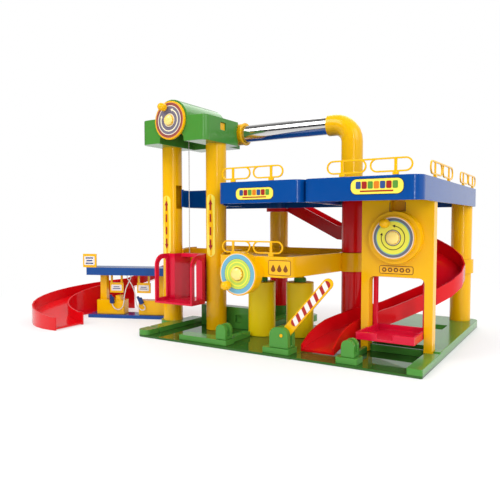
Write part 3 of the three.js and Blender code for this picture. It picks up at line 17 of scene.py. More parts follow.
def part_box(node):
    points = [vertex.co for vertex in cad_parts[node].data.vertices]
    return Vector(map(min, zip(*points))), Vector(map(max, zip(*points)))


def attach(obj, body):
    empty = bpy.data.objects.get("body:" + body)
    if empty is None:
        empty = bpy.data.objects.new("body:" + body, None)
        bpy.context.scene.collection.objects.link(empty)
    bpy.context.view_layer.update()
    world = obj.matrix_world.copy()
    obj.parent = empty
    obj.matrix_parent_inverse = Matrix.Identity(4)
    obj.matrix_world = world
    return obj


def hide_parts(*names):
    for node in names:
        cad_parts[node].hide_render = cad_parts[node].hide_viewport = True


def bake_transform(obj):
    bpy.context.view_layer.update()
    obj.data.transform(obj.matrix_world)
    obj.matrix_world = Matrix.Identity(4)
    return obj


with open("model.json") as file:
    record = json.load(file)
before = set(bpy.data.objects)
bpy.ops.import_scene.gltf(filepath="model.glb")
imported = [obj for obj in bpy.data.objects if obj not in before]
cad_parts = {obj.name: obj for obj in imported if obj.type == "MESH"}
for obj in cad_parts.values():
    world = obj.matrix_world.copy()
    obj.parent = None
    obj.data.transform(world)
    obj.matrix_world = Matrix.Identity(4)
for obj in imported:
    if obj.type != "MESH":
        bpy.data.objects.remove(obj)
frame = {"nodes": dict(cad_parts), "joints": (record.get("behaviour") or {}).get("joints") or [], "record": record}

LOG = logging.getLogger("garage")
Point2 = Tuple[float, float]
Point3 = Tuple[float, float, float]
Colour = Tuple[float, float, float, float]
Stops = Sequence[Tuple[float, Colour]]
Outline = List[Point2]
Feed = Union[float, Sequence[float], bpy.types.NodeSocket]

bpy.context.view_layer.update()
MM = 0.001

# Moulded shells
WELD = 0.00001
FLAT_ANGLE = math.radians(0.6)
FLAT_AREA_SHARE = 0.00005
SHARP_ANGLE = math.radians(38)
EDGE_ROUND = 0.0009
FINE_ROUND = 0.0004
BEVEL_STEPS = 2
BEVEL_PROFILE = 0.5
BEVEL_OVERSHOOT = 0.0003
BEVEL_VOLUME_SHARE = 0.06
NORMAL_WEIGHT = 100

# Printed labels
INK_DEPTH = 0.0003
INK_GAP = 0.00015
ARC_STEP = math.radians(6)
FRONT = Vector((0.0, -1.0, 0.0))
RIGHT = Vector((1.0, 0.0, 0.0))
UP = Vector((0.0, 0.0, 1.0))


class Body(str, Enum):
    """Bodies of the frame that pieces ride on."""

    GARAGE = "garage"
    CAGE = "lift_cage"
    WINCH = "winch"
    PLATFORM = "service_platform"
    SERVICE = "service_crank"
    WASH = "wash_crank"
    IDLER = "wash_idler"
    ROLLER_FRONT = "wash_roller_front"
    ROLLER_BACK = "wash_roller_back"
    BARRIER = "barrier"


class Side(str, Enum):
    """Sides that paired pieces are named by."""

    LEFT = "left"
    RIGHT = "right"
    FRONT = "front"
    BACK = "back"


class Slot(str, Enum):
    """Material slots of the record."""

    GREEN = "green_plastic"
    YELLOW = "yellow_plastic"
    ROLLER = "roller_plastic"
    RED = "red_plastic"
    CAGE = "cage_plastic"
    BLUE = "blue_plastic"
    CHROME = "chrome_tube"
    CORD = "white_cord"
    RUBBER = "drive_rubber"


@dataclass(frozen=True)
class Finish:
    """How a moulded or printed surface looks.

    Args:
        name: Name of the material.
        tint: Main colour, linear.
        shade: Colour of the deeper patches, linear.
        roughness: Mean roughness of the gloss.
        coat: Weight of the clear gloss on top.
        peel: Height of the fine orange-peel ripple.
        wave: Height of the slow sink marks.
        glow: Share of light that scatters under the surface.
    """

    name: str
    tint: Colour
    shade: Colour
    roughness: float
    coat: float
    peel: float = 0.000002
    wave: float = 0.0001
    glow: float = 0.06


@dataclass(frozen=True)
class Yarn:
    """How a cord looks.

    Args:
        name: Name of the material.
        tint: Colour of the yarn, linear.
        twist: Scale of the twist's bands, whose darker low parts are painted shade in the grooves.
        roughness: Roughness.
    """

    name: str
    tint: Colour
    twist: float
    roughness: float


@dataclass(frozen=True)
class Grain:
    """A noise pattern.

    Args:
        scale: How fine the pattern is.
        detail: How many finer layers it has.
    """

    scale: float
    detail: float


def rgb(red: float, green: float, blue: float) -> Colour:
    """Returns an opaque linear colour."""
    return (red, green, blue, 1.0)


def ink(name: str, tint: Colour, shade: Colour, roughness: float = 0.4, coat: float = 0.1) -> Finish:
    """Returns the finish of a smooth printed label."""
    return Finish(name, tint, shade, roughness, coat, peel=0.0, wave=0.0, glow=0.0)


GREEN = Finish("green_moulding", rgb(0.074, 0.28, 0.040), rgb(0.058, 0.225, 0.032), 0.17, 0.15)
YELLOW = Finish("yellow_moulding", rgb(0.86, 0.47, 0.0), rgb(0.79, 0.40, 0.0), 0.2, 0.2)
ROLLER = Finish("roller_moulding", rgb(0.86, 0.64, 0.0), rgb(0.76, 0.55, 0.0), 0.42, 0.1)
RED = Finish("red_moulding", rgb(0.72, 0.003, 0.007), rgb(0.60, 0.002, 0.006), 0.18, 0.2)
CRIMSON = Finish("crimson_moulding", rgb(0.72, 0.006, 0.040), rgb(0.62, 0.004, 0.032), 0.18, 0.2)
BLUE = Finish("blue_moulding", rgb(0.0, 0.064, 0.29), rgb(0.0, 0.050, 0.24), 0.2, 0.3)
NAVY = Finish("navy_moulding", rgb(0.01, 0.045, 0.2), rgb(0.006, 0.03, 0.14), 0.4, 0.1)
PEARL = Finish("pearl_dome", rgb(0.92, 0.74, 0.28), rgb(0.86, 0.62, 0.12), 0.16, 0.8)
RUBBER = Finish("drive_rubber", rgb(0.02, 0.02, 0.02), rgb(0.035, 0.034, 0.033), 0.8, 0.0, 0.00003, 0.0, 0.0)
INK_DARK = ink("dark_ink", rgb(0.02, 0.012, 0.01), rgb(0.03, 0.02, 0.018))
INK_BROWN = ink("brown_ink", rgb(0.22, 0.075, 0.01), rgb(0.18, 0.055, 0.008))
INK_RED = ink("red_ink", rgb(0.38, 0.018, 0.012), rgb(0.30, 0.012, 0.01), 0.38)
INK_BLUE = ink("blue_ink", rgb(0.03, 0.08, 0.26), rgb(0.024, 0.06, 0.2), 0.36)
INK_GREEN = ink("green_ink", rgb(0.10, 0.30, 0.04), rgb(0.08, 0.24, 0.03))
INK_ORANGE = ink("orange_ink", rgb(0.70, 0.20, 0.01), rgb(0.6, 0.16, 0.01))
INK_YELLOW = ink("yellow_label", rgb(0.90, 0.74, 0.10), rgb(0.84, 0.68, 0.08), 0.3, 0.3)
INK_AMBER = ink("amber_label", rgb(0.90, 0.47, 0.01), rgb(0.84, 0.42, 0.01), 0.3, 0.3)
INK_WHITE = ink("white_label", rgb(0.80, 0.76, 0.72), rgb(0.74, 0.69, 0.66), 0.42)
INK_CREAM = ink("cream_ink", rgb(0.86, 0.80, 0.55), rgb(0.80, 0.74, 0.5))
HOSE_VINYL = Yarn("hose_vinyl", rgb(0.86, 0.83, 0.80), 500.0, 0.4)
CORD_YARN = Yarn("cord_yarn", rgb(0.74, 0.72, 0.70), 900.0, 0.75)
MOULDINGS = {Slot.GREEN: GREEN, Slot.YELLOW: YELLOW, Slot.ROLLER: ROLLER, Slot.RED: RED, Slot.CAGE: CRIMSON,
             Slot.BLUE: BLUE, Slot.RUBBER: RUBBER}


class Graph:
    """A thin layer over a shader node tree."""

    def __init__(self, tree: bpy.types.NodeTree) -> None:
        """Starts on an empty tree.

        Args:
            tree: The tree to fill.
        """
        self.tree = tree
        self.tree.nodes.clear()

    def node(self, kind: str, inputs: Optional[Dict[Union[int, str], Feed]] = None,
             **settings: object) -> bpy.types.Node:
        """Adds a node.

        Args:
            kind: Type name of the node.
            inputs: Values or output sockets by the input's name or number.
            settings: Attributes to set on the node.

        Returns:
            The new node.
        """
        made = self.tree.nodes.new(kind)
        for key, value in settings.items():
            setattr(made, key, value)
        self.fill(made, inputs or {})
        return made

    def fill(self, node: bpy.types.Node, inputs: Dict[Union[int, str], Feed]) -> None:
        """Links output sockets to a node's inputs, or sets the inputs' values.

        Args:
            node: The node to feed.
            inputs: Values or output sockets by the input's name or number.
        """
        for key, value in inputs.items():
            self.feed(node.inputs[key], value)

    def feed(self, socket: bpy.types.NodeSocket, value: Feed) -> None:
        """Links an output socket to an input, or sets the input's value.

        Args:
            socket: The input.
            value: The output socket or the value.
        """
        if isinstance(value, bpy.types.NodeSocket):
            self.tree.links.new(value, socket)
        else:
            socket.default_value = value

    def coords(self) -> bpy.types.NodeSocket:
        """Returns the place of a surface point in the object's own coordinates."""
        return self.node("ShaderNodeTexCoord").outputs["Object"]

    def math(self, operation: str, *values: Feed) -> bpy.types.NodeSocket:
        """Returns the result of a math node on the given values."""
        return self.node("ShaderNodeMath", dict(enumerate(values)), operation=operation).outputs[0]

    def vector(self, operation: str, *values: Feed, output: str = "Vector") -> bpy.types.NodeSocket:
        """Returns one output of a vector math node on the given values."""
        return self.node("ShaderNodeVectorMath", dict(enumerate(values)), operation=operation).outputs[output]

    def noise(self, coords: bpy.types.NodeSocket, grain: Grain) -> bpy.types.NodeSocket:
        """Returns a noise pattern over the given coordinates."""
        return self.node("ShaderNodeTexNoise", {"Vector": coords, "Scale": grain.scale,
                                                "Detail": grain.detail}).outputs["Fac"]

    def spread(self, value: Feed, target: Point2, source: Point2 = (0.0, 1.0)) -> bpy.types.NodeSocket:
        """Returns a value carried from the source range to the target range."""
        return self.node("ShaderNodeMapRange", {"Value": value, "From Min": source[0], "From Max": source[1],
                                                "To Min": target[0], "To Max": target[1]}).outputs["Result"]

    def bump(self, height: bpy.types.NodeSocket, distance: Feed,
             under: Optional[bpy.types.NodeSocket] = None) -> bpy.types.NodeSocket:
        """Returns the normal of a relief, which may lie on another one."""
        inputs = {"Height": height, "Distance": distance, **({"Normal": under} if under else {})}
        return self.node("ShaderNodeBump", inputs).outputs["Normal"]

    def ramp(self, value: bpy.types.NodeSocket, stops: Stops, hard: bool = False) -> bpy.types.NodeSocket:
        """Adds a colour ramp.

        Args:
            value: Where on the ramp a point lies.
            stops: Places and colours.
            hard: Whether each colour holds until the next stop.

        Returns:
            The ramp's colour output.
        """
        made = self.node("ShaderNodeValToRGB", {"Fac": value})
        ramp = made.color_ramp
        ramp.interpolation = "CONSTANT" if hard else "LINEAR"
        while len(ramp.elements) < len(stops):
            ramp.elements.new(0.5)
        for element, (place, colour) in zip(ramp.elements, sorted(stops)):
            element.position = place
            element.color = colour
        return made.outputs["Color"]

    def mix(self, share: Feed, first: Feed, second: Feed) -> bpy.types.NodeSocket:
        """Mixes two colours.

        Args:
            share: Share of the second colour.
            first: The first colour.
            second: The second colour.

        Returns:
            The mixed colour.
        """
        made = self.node("ShaderNodeMix", {0: share}, data_type="RGBA")
        for socket, colour in zip((s for s in made.inputs if s.type == "RGBA"), (first, second)):
            self.feed(socket, colour)
        return next(s for s in made.outputs if s.type == "RGBA")


class Palette:
    """Makes the materials. The moulded and printed ones stand on one shared surface group."""

    SOCKETS = {"INPUT": (("Tint", "Color"), ("Shade", "Color"), ("Gloss", "Float"), ("Peel", "Float"),
                         ("Wave", "Float")),
               "OUTPUT": (("Color", "Color"), ("Roughness", "Float"), ("Normal", "Vector"))}
    PATCHES = Grain(9.0, 3.0)
    WAVES = Grain(22.0, 1.0)
    PEEL = Grain(900.0, 2.0)
    RUBBING = Grain(70.0, 2.0)
    RUB_RANGE = (0.3, 0.75)
    RUB_SHARES = (0.88, 1.18)
    SPECULAR = 0.22
    COAT_ROUGHNESS = 0.05
    GLOW_DEPTH = 0.004
    SHEET_TINT = rgb(0.026, 0.10, 0.014)
    SHEET_ROUGHNESS_SHARE = 0.2
    PRINT_WEAR_SHARE = 0.06
    STRIPE_SHARE = 0.45
    FILM_STRETCH = (3.0, 240.0, 240.0)
    FILM_STREAKS = Grain(1.0, 3.0)
    FILM_ROUGHNESS = (0.10, 0.18)
    FILM_TONES = ((0.0, rgb(0.58, 0.57, 0.56)), (1.0, rgb(0.72, 0.71, 0.70)))
    # Brightness of the painted shade in a cord's twist grooves, as a share of its colour
    YARN_GROOVE_SHADE_SHARE = 0.72
    YARN_BRIGHT_SHARE = 0.7
    YARN_DISTORTION = 1.5
    YARN_RELIEF = 0.0003

    def __init__(self) -> None:
        """Builds the shared group."""
        self.made: Dict[str, bpy.types.Material] = {}
        self.skin = self._skin_group()

    def _skin_group(self) -> bpy.types.NodeTree:
        """Builds the group that gives moulded plastic its patches, rubbed gloss and ripple.

        Returns:
            The group.
        """
        group = bpy.data.node_groups.new("moulded_skin", "ShaderNodeTree")
        graph = Graph(group)
        for side, sockets in self.SOCKETS.items():
            for name, kind in sockets:
                group.interface.new_socket(name=name, in_out=side, socket_type=f"NodeSocket{kind}")
        given = graph.node("NodeGroupInput").outputs
        coords = graph.coords()
        rub = graph.spread(graph.noise(coords, self.RUBBING), self.RUB_SHARES, self.RUB_RANGE)
        slow = graph.bump(graph.noise(coords, self.WAVES), given["Wave"])
        graph.node("NodeGroupOutput", {
            "Color": graph.mix(graph.noise(coords, self.PATCHES), given["Tint"], given["Shade"]),
            "Roughness": graph.math("MULTIPLY", given["Gloss"], rub),
            "Normal": graph.bump(graph.noise(coords, self.PEEL), given["Peel"], slow)})
        return group

    @staticmethod
    def _start(name: str) -> Tuple[bpy.types.Material, Graph, bpy.types.Node]:
        """Starts a material.

        Args:
            name: Its name.

        Returns:
            The material, its graph and its Principled node.
        """
        material = bpy.data.materials.new(name)
        material.use_nodes = True
        graph = Graph(material.node_tree)
        shader = graph.node("ShaderNodeBsdfPrincipled")
        graph.node("ShaderNodeOutputMaterial", {"Surface": shader.outputs["BSDF"]})
        return material, graph, shader

    def _skin(self, graph: Graph, shader: bpy.types.Node, finish: Finish) -> bpy.types.Node:
        """Feeds a shader from the shared group.

        Args:
            graph: The material's graph.
            shader: Its Principled node.
            finish: How the surface looks.

        Returns:
            The group node.
        """
        skin = graph.node("ShaderNodeGroup", node_tree=self.skin)
        graph.fill(skin, {"Tint": finish.tint, "Shade": finish.shade, "Gloss": finish.roughness,
                          "Peel": finish.peel, "Wave": finish.wave})
        graph.fill(shader, {"Base Color": skin.outputs["Color"], "Roughness": skin.outputs["Roughness"],
                            "Normal": skin.outputs["Normal"], "Specular IOR Level": self.SPECULAR,
                            "Coat Weight": finish.coat, "Coat Roughness": self.COAT_ROUGHNESS})
        if finish.glow:
            graph.fill(shader, {"Subsurface Weight": finish.glow, "Subsurface Scale": self.GLOW_DEPTH})
        return skin

    def moulded(self, finish: Finish) -> bpy.types.Material:
        """Gives the material of a moulded or printed surface, which is made once.

        Args:
            finish: How the surface looks.

        Returns:
            The material.
        """
        if finish.name not in self.made:
            material, graph, shader = self._start(finish.name)
            self._skin(graph, shader, finish)
            self.made[finish.name] = material
        return self.made[finish.name]

    def base_sheet(self, finish: Finish, sheet_top: float) -> bpy.types.Material:
        """Makes the green of the base: kerbs as moulded, the flat sheet darker and like a mirror.

        Args:
            finish: The kerbs' finish.
            sheet_top: Height of the flat sheet.

        Returns:
            The material.
        """
        material, graph, shader = self._start("base_moulding")
        skin = self._skin(graph, shader, finish)
        height = graph.node("ShaderNodeSeparateXYZ", {"Vector": graph.coords()}).outputs["Z"]
        sheet = graph.math("LESS_THAN", height, sheet_top)
        polish = graph.spread(sheet, (1.0, self.SHEET_ROUGHNESS_SHARE))
        graph.fill(shader, {"Base Color": graph.mix(sheet, skin.outputs["Color"], self.SHEET_TINT),
                            "Roughness": graph.math("MULTIPLY", skin.outputs["Roughness"], polish)})
        return material

    def rings(self, name: str, centre: Point3, radius: float, stops: Stops) -> bpy.types.Material:
        """Makes a printed disc of coloured rings round a centre, in the plane of X and Z.

        Args:
            name: Name of the material.
            centre: Middle of the disc.
            radius: Radius that stands for 1 in the stops.
            stops: Inner radius of each ring as a share, and its colour.

        Returns:
            The material.
        """
        material, graph, shader = self._start(name)
        skin = self._skin(graph, shader, INK_WHITE)
        away = graph.vector("SUBTRACT", graph.coords(), centre)
        flat = graph.vector("MULTIPLY", away, (1 / radius, 0.0, 1 / radius))
        colours = graph.ramp(graph.vector("LENGTH", flat, output="Value"), stops, hard=True)
        graph.fill(shader, {"Base Color": graph.mix(self.PRINT_WEAR_SHARE, colours, skin.outputs["Color"])})
        return material

    def stripes(self, name: str, along: Vector, pitch: float, lean: float) -> bpy.types.Material:
        """Makes white with slanted red bars along a direction in the plane of X and Z.

        Args:
            name: Name of the material.
            along: Unit direction that the bars follow each other in.
            pitch: Distance from bar to bar.
            lean: How far a bar leans for each metre across.

        Returns:
            The material.
        """
        material, graph, shader = self._start(name)
        skin = self._skin(graph, shader, INK_WHITE)
        travel = (along + Vector((-along.z, 0.0, along.x)) * lean) / pitch
        turn = graph.math("FRACT", graph.vector("DOT_PRODUCT", graph.coords(), travel, output="Value"))
        stripe = graph.math("LESS_THAN", turn, self.STRIPE_SHARE)
        graph.fill(shader, {"Base Color": graph.mix(stripe, skin.outputs["Color"], INK_RED.tint)})
        return material

    def chrome(self) -> bpy.types.Material:
        """Makes the mirror film of the cross tube, with faint lengthwise streaks.

        Returns:
            The material.
        """
        material, graph, shader = self._start("chrome_film")
        drawn = graph.node("ShaderNodeMapping", {"Vector": graph.coords(), "Scale": self.FILM_STRETCH})
        streak = graph.noise(drawn.outputs["Vector"], self.FILM_STREAKS)
        graph.fill(shader, {"Base Color": graph.ramp(streak, self.FILM_TONES),
                            "Roughness": graph.spread(streak, self.FILM_ROUGHNESS), "Metallic": 1.0})
        return material

    def cord(self, yarn: Yarn) -> bpy.types.Material:
        """Makes a twisted cord's material, with painted shade in the grooves of the twist's relief.

        Args:
            yarn: How the cord looks.

        Returns:
            The material.
        """
        material, graph, shader = self._start(yarn.name)
        wave = graph.node("ShaderNodeTexWave", {"Vector": graph.coords(), "Scale": yarn.twist,
                                                "Distortion": self.YARN_DISTORTION},
                          bands_direction="DIAGONAL").outputs["Fac"]
        # The darker colour sits in the low bands of the twist's bump: painted shade in the grooves
        dark = rgb(*(value * self.YARN_GROOVE_SHADE_SHARE for value in yarn.tint[:3]))
        graph.fill(shader, {"Base Color": graph.ramp(wave, ((0.0, dark), (self.YARN_BRIGHT_SHARE, yarn.tint))),
                            "Normal": graph.bump(wave, self.YARN_RELIEF), "Roughness": yarn.roughness})
        return material


def box_of(node: str) -> Tuple[Vector, Vector]:
    """Returns the lowest and highest corner of a CAD node."""
    low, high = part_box(node)
    return Vector(low), Vector(high)


def middle_of(node: str) -> Vector:
    """Returns the middle of a CAD node's box."""
    low, high = box_of(node)
    return (low + high) / 2


def corners_of(form: bmesh.types.BMesh) -> List[float]:
    """Returns the lowest X, Y and Z of a form, then the highest."""
    places = [vert.co for vert in form.verts]
    return [pick(place[i] for place in places) for pick in (min, max) for i in range(3)]


def linked(name: str, data: bpy.types.ID) -> bpy.types.Object:
    """Makes an object and links it to the scene.

    Args:
        name: Its name.
        data: Its mesh, curve, camera or light.

    Returns:
        The new object.
    """
    made = bpy.data.objects.new(name, data)
    bpy.context.scene.collection.objects.link(made)
    return made


def mesh_of(name: str, form: bmesh.types.BMesh, material: bpy.types.Material) -> bpy.types.Mesh:
    """Turns a bmesh into a mesh.

    Args:
        name: Name of the mesh.
        form: Its shape, which is freed.
        material: Its material.

    Returns:
        The new mesh.
    """
    mesh = bpy.data.meshes.new(name)
    form.to_mesh(mesh)
    form.free()
    mesh.materials.append(material)
    return mesh


@dataclass
class Workshop:
    """Makes finished objects out of bmeshes and seats them on the frame's bodies.

    Args:
        palette: Source of all materials.
        count: How many pieces have been made.
    """

    palette: Palette
    count: int = 0
    OPEN_WORK = ("railing", "roller")
    SNUG_BORE = ("roller",)

    def add(self, name: str, form: bmesh.types.BMesh, material: bpy.types.Material, body: Body,
            slot: Slot) -> bpy.types.Object:
        """Turns a bmesh into a piece that rides on a body.

        Args:
            name: Name of the piece.
            form: Its shape, which is freed.
            material: Its material.
            body: The body that carries it.
            slot: The record's slot; not used.

        Returns:
            The new object.
        """
        piece = linked(name, mesh_of(name, form, material))
        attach(piece, body.value)
        self.count += 1
        LOG.info("piece %s on %s: %d faces", name, body.value, len(piece.data.polygons))
        return piece

    @staticmethod
    def soften(form: bmesh.types.BMesh) -> None:
        """Marks every face smooth and keeps the edges sharp that turn further than a rounding does.

        Args:
            form: The shape to mark.
        """
        for face in form.faces:
            face.smooth = True
        for edge in form.edges:
            edge.smooth = not edge.is_manifold or edge.calc_face_angle(0.0) < SHARP_ANGLE

    def shell(self, node: str, material: bpy.types.Material, body: Body, slot: Slot,
              rounding: float) -> bpy.types.Object:
        """Makes the moulded shell that stands for a CAD node: the same form with rounded, smooth edges.

        Args:
            node: The CAD node.
            material: Its finish.
            body: The body that carries it.
            slot: Its slot.
            rounding: Width of the rounding along its edges.

        Returns:
            The new object.
        """
        form = bmesh.new()
        form.from_mesh(frame["nodes"][node].data)
        bmesh.ops.remove_doubles(form, verts=form.verts, dist=WELD)
        if not any(word in node for word in self.OPEN_WORK):
            form = self._flattened(form)
        form = self._rounded(node, form, rounding)
        self.soften(form)
        piece = self.add(f"{node}_shell", form, material, body, slot)
        modifier = piece.modifiers.new("even_normals", "WEIGHTED_NORMAL")
        modifier.keep_sharp = True
        modifier.weight = NORMAL_WEIGHT
        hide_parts(node)
        return piece

    @staticmethod
    def _flattened(form: bmesh.types.BMesh) -> bmesh.types.BMesh:
        """Joins the flat triangles of a form, unless a joined face would fill a hole.

        Args:
            form: The form, which is freed if it isn't returned.

        Returns:
            The joined form, or the form as it was.
        """
        flat = form.copy()
        bmesh.ops.dissolve_limit(flat, angle_limit=FLAT_ANGLE, verts=flat.verts, edges=flat.edges)
        cut = flat.copy()
        bmesh.ops.triangulate(cut, faces=cut.faces)
        whole = sum(face.calc_area() for face in form.faces)
        filled = abs(sum(face.calc_area() for face in cut.faces) - whole) > FLAT_AREA_SHARE * whole
        cut.free()
        (flat if filled else form).free()
        return form if filled else flat

    def _rounded(self, node: str, form: bmesh.types.BMesh, rounding: float) -> bmesh.types.BMesh:
        """Rounds the sharp edges of a form, unless that changes its box or its volume.

        Args:
            node: The CAD node that the form stands for.
            form: The form, which is freed if it isn't returned.
            rounding: Width of the rounding.

        Returns:
            The rounded form, or the form as it was.
        """
        rounded = form.copy()
        snug = any(word in node for word in self.SNUG_BORE)
        edges = [edge for edge in rounded.edges if edge.is_manifold and edge.calc_face_angle(0.0) > SHARP_ANGLE
                 and (edge.is_convex or not snug)]
        if edges:
            bmesh.ops.bevel(rounded, geom=edges, offset=rounding, offset_type="OFFSET", segments=BEVEL_STEPS,
                            profile=BEVEL_PROFILE, affect="EDGES", clamp_overlap=False, material=-1)
        moved = max(abs(a - b) for a, b in zip(corners_of(form), corners_of(rounded)))
        whole, left = (abs(shape.calc_volume(signed=True)) for shape in (form, rounded))
        kept = moved < BEVEL_OVERSHOOT and abs(left - whole) < BEVEL_VOLUME_SHARE * whole
        if not kept:
            LOG.info("%s keeps its plain edges", node)
        (form if kept else rounded).free()
        return rounded if kept else form


def turned(profile: Sequence[Point2], origin: Vector, axis: Vector, sides: int,
           closed: bool = False) -> bmesh.types.BMesh:
    """Spins a profile about an axis into a smooth solid.

    Args:
        profile: Radius and distance along the axis of each point.
        origin: Zero point of the axis.
        axis: Its direction.
        sides: Number of sides.
        closed: Whether the profile closes on itself, as a ring's does, or ends on the axis.

    Returns:
        The solid.
    """
    turn = axis.to_track_quat("Z", "Y").to_matrix()
    form = bmesh.new()
    verts = [form.verts.new(origin + turn @ Vector((radius, 0.0, along))) for radius, along in profile]
    follows = verts[1:] + verts[:1] if closed else verts[1:]
    edges = [form.edges.new(pair) for pair in zip(verts, follows)]
    bmesh.ops.spin(form, geom=verts + edges, cent=origin, axis=axis, steps=sides, angle=math.tau, use_merge=True)
    bmesh.ops.remove_doubles(form, verts=form.verts, dist=WELD)
    bmesh.ops.recalc_face_normals(form, faces=form.faces)
    Workshop.soften(form)
    return form


# Flat outlines for printed labels, all anticlockwise

def arc(x: float, y: float, radius: float, start: float, end: float) -> Outline:
    """Draws points along an arc, both ends included.

    Args:
        x: Middle, to the right.
        y: Middle, up.
        radius: Radius.
        start: Angle of the first point.
        end: Angle of the last point.

    Returns:
        The points.
    """
    steps = max(2, math.ceil(abs(end - start) / ARC_STEP))
    turns = (start + (end - start) * i / steps for i in range(steps + 1))
    return [(x + radius * math.cos(turn), y + radius * math.sin(turn)) for turn in turns]


def panel(x: float, y: float, width: float, height: float, radius: float) -> Outline:
    """Draws a rounded rectangle.

    Args:
        x: Middle, to the right.
        y: Middle, up.
        width: Width.
        height: Height.
        radius: Radius of the corners.

    Returns:
        The points.
    """
    right, top = width / 2 - radius, height / 2 - radius
    corners = ((right, top), (-right, top), (-right, -top), (right, -top))
    return [point for i, (cx, cy) in enumerate(corners)
            for point in arc(x + cx, y + cy, radius, i * math.pi / 2, (i + 1) * math.pi / 2)]


def bar(x: float, y: float, width: float, height: float) -> Outline:
    """Returns a plain rectangle about a middle."""
    return [(x + width / 2 * a, y + height / 2 * b) for a, b in ((-1, -1), (1, -1), (1, 1), (-1, 1))]


def sector(inner: float, outer: float, start: float, end: float) -> Outline:
    """Returns a stretch of a ring about the zero point."""
    return arc(0.0, 0.0, outer, start, end) + arc(0.0, 0.0, inner, end, start)


def arrowhead(radius: float, turn: float, size: float, way: int = 1) -> Outline:
    """Draws an arrowhead that lies on a circle about the zero point and points along it.

    Args:
        radius: Radius of the circle.
        turn: Angle of the arrowhead's foot.
        size: Its length.
        way: 1 for anticlockwise, -1 for clockwise.

    Returns:
        The points.
    """
    half_share = 0.55
    side = Vector((math.cos(turn), math.sin(turn)))
    ahead = Vector((-side.y, side.x)) * way
    root = side * radius
    points = [root + side * size * half_share, root + ahead * size, root - side * size * half_share]
    return [(point.x, point.y) for point in points[::way]]


def pointer(y: float, width: float, height: float, way: int) -> Outline:
    """Draws an upright block arrow about the zero line.

    Args:
        y: Middle, up.
        width: Width of its head.
        height: Its whole height.
        way: 1 for up, -1 for down.

    Returns:
        The points.
    """
    head_share, stem_share = 0.45, 0.18
    neck, stem = height / 2 - height * head_share, width * stem_share
    points = [(-stem, -height / 2), (stem, -height / 2), (stem, neck), (width / 2, neck), (0.0, height / 2),
              (-width / 2, neck), (-stem, neck)]
    return [(a, y + b * way) for a, b in points[::way]]


def drop(x: float, y: float, radius: float) -> Outline:
    """Draws a drop of water with its tip up.

    Args:
        x: Middle of its round end, to the right.
        y: Middle of its round end, up.
        radius: Radius of its round end.

    Returns:
        The points.
    """
    tip_share, shoulder = 2.1, math.radians(30)
    return arc(x, y, radius, -math.pi - shoulder, shoulder) + [(x, y + radius * tip_share)]


def nut(x: float, outer: float, inner: float) -> List[Outline]:
    """Draws a hexagon with a hexagonal hole, as six pieces.

    Args:
        x: Middle, to the right.
        outer: Radius of its corners.
        inner: Radius of the hole's corners.

    Returns:
        The outlines.
    """
    out, hole = ([(x + radius * math.cos(math.pi * i / 3), radius * math.sin(math.pi * i / 3)) for i in range(7)]
                 for radius in (outer, inner))
    return [[out[i], out[i + 1], hole[i + 1], hole[i]] for i in range(6)]


@dataclass(frozen=True)
class Face:
    """A flat face that labels lie on.

    Args:
        origin: The labels' zero point.
        right: Direction of the labels' first axis.
        out: Outward normal.
    """

    origin: Vector
    right: Vector
    out: Vector

    def place(self, u: float, v: float, lift: float) -> Vector:
        """Returns the point at u to the right, v up and lift out of the face."""
        return self.origin + self.right * u + self.out.cross(self.right) * v + self.out * lift


@dataclass(frozen=True)
class Ring:
    """A round surface that labels are wrapped on, its axis upright.

    Args:
        origin: Point of the axis at the labels' zero height.
        radius: Radius of the surface.
        facing: Angle in plan of the labels' middle.
    """

    origin: Vector
    radius: float
    facing: float

    def place(self, u: float, v: float, lift: float) -> Vector:
        """Returns the point at u round the surface, v up and lift out of it."""
        turn, reach = self.facing + u / self.radius, self.radius + lift
        return self.origin + Vector((reach * math.cos(turn), reach * math.sin(turn), v))


@dataclass
class Printer:
    """Lays thin printed labels on faces.

    Args:
        workshop: Maker of the pieces.
    """

    workshop: Workshop

    def print(self, name: str, surface: Union[Face, Ring], outlines: Iterable[Outline],
              finish: Union[Finish, bpy.types.Material], slot: Slot = Slot.YELLOW, layer: int = 0,
              body: Body = Body.GARAGE) -> None:
        """Makes one label of one or more outlines.

        Args:
            name: Name of the piece.
            surface: What it lies on.
            outlines: The outlines, anticlockwise.
            finish: How it looks, or its material.
            slot: Its slot.
            layer: How many labels lie under it.
            body: The body that carries it.
        """
        low = INK_GAP + layer * INK_DEPTH
        form = bmesh.new()
        for outline in outlines:
            base, top = ([form.verts.new(surface.place(u, v, lift)) for u, v in outline]
                         for lift in (low, low + INK_DEPTH))
            form.faces.new(top)
            form.faces.new(base[::-1])
            for i, corner in enumerate(base):
                following = (i + 1) % len(base)
                form.faces.new((corner, base[following], top[following], top[i]))
        bmesh.ops.recalc_face_normals(form, faces=form.faces)
        material = self.workshop.palette.moulded(finish) if isinstance(finish, Finish) else finish
        self.workshop.add(name, form, material, body, slot)

    def plate(self, name: str, face: Face, size: Point2, corner: float, line: float, ground: Finish,
              border: Finish, border_slot: Slot = Slot.YELLOW) -> None:
        """Lays a plate with a thin border, for signs to be printed on at layer 2.

        Args:
            name: First part of the pieces' names.
            face: What it lies on, with the zero point in the plate's middle.
            size: Width and height.
            corner: Radius of the corners.
            line: Width of the border.
            ground: How the plate looks.
            border: How the border looks.
            border_slot: The border's slot.
        """
        width, height = size
        self.print(f"{name}_border", face, [panel(0, 0, width, height, corner)], border, border_slot)
        inner = panel(0, 0, width - 2 * line, height - 2 * line, corner - line)
        self.print(f"{name}_ground", face, [inner], ground, layer=1)


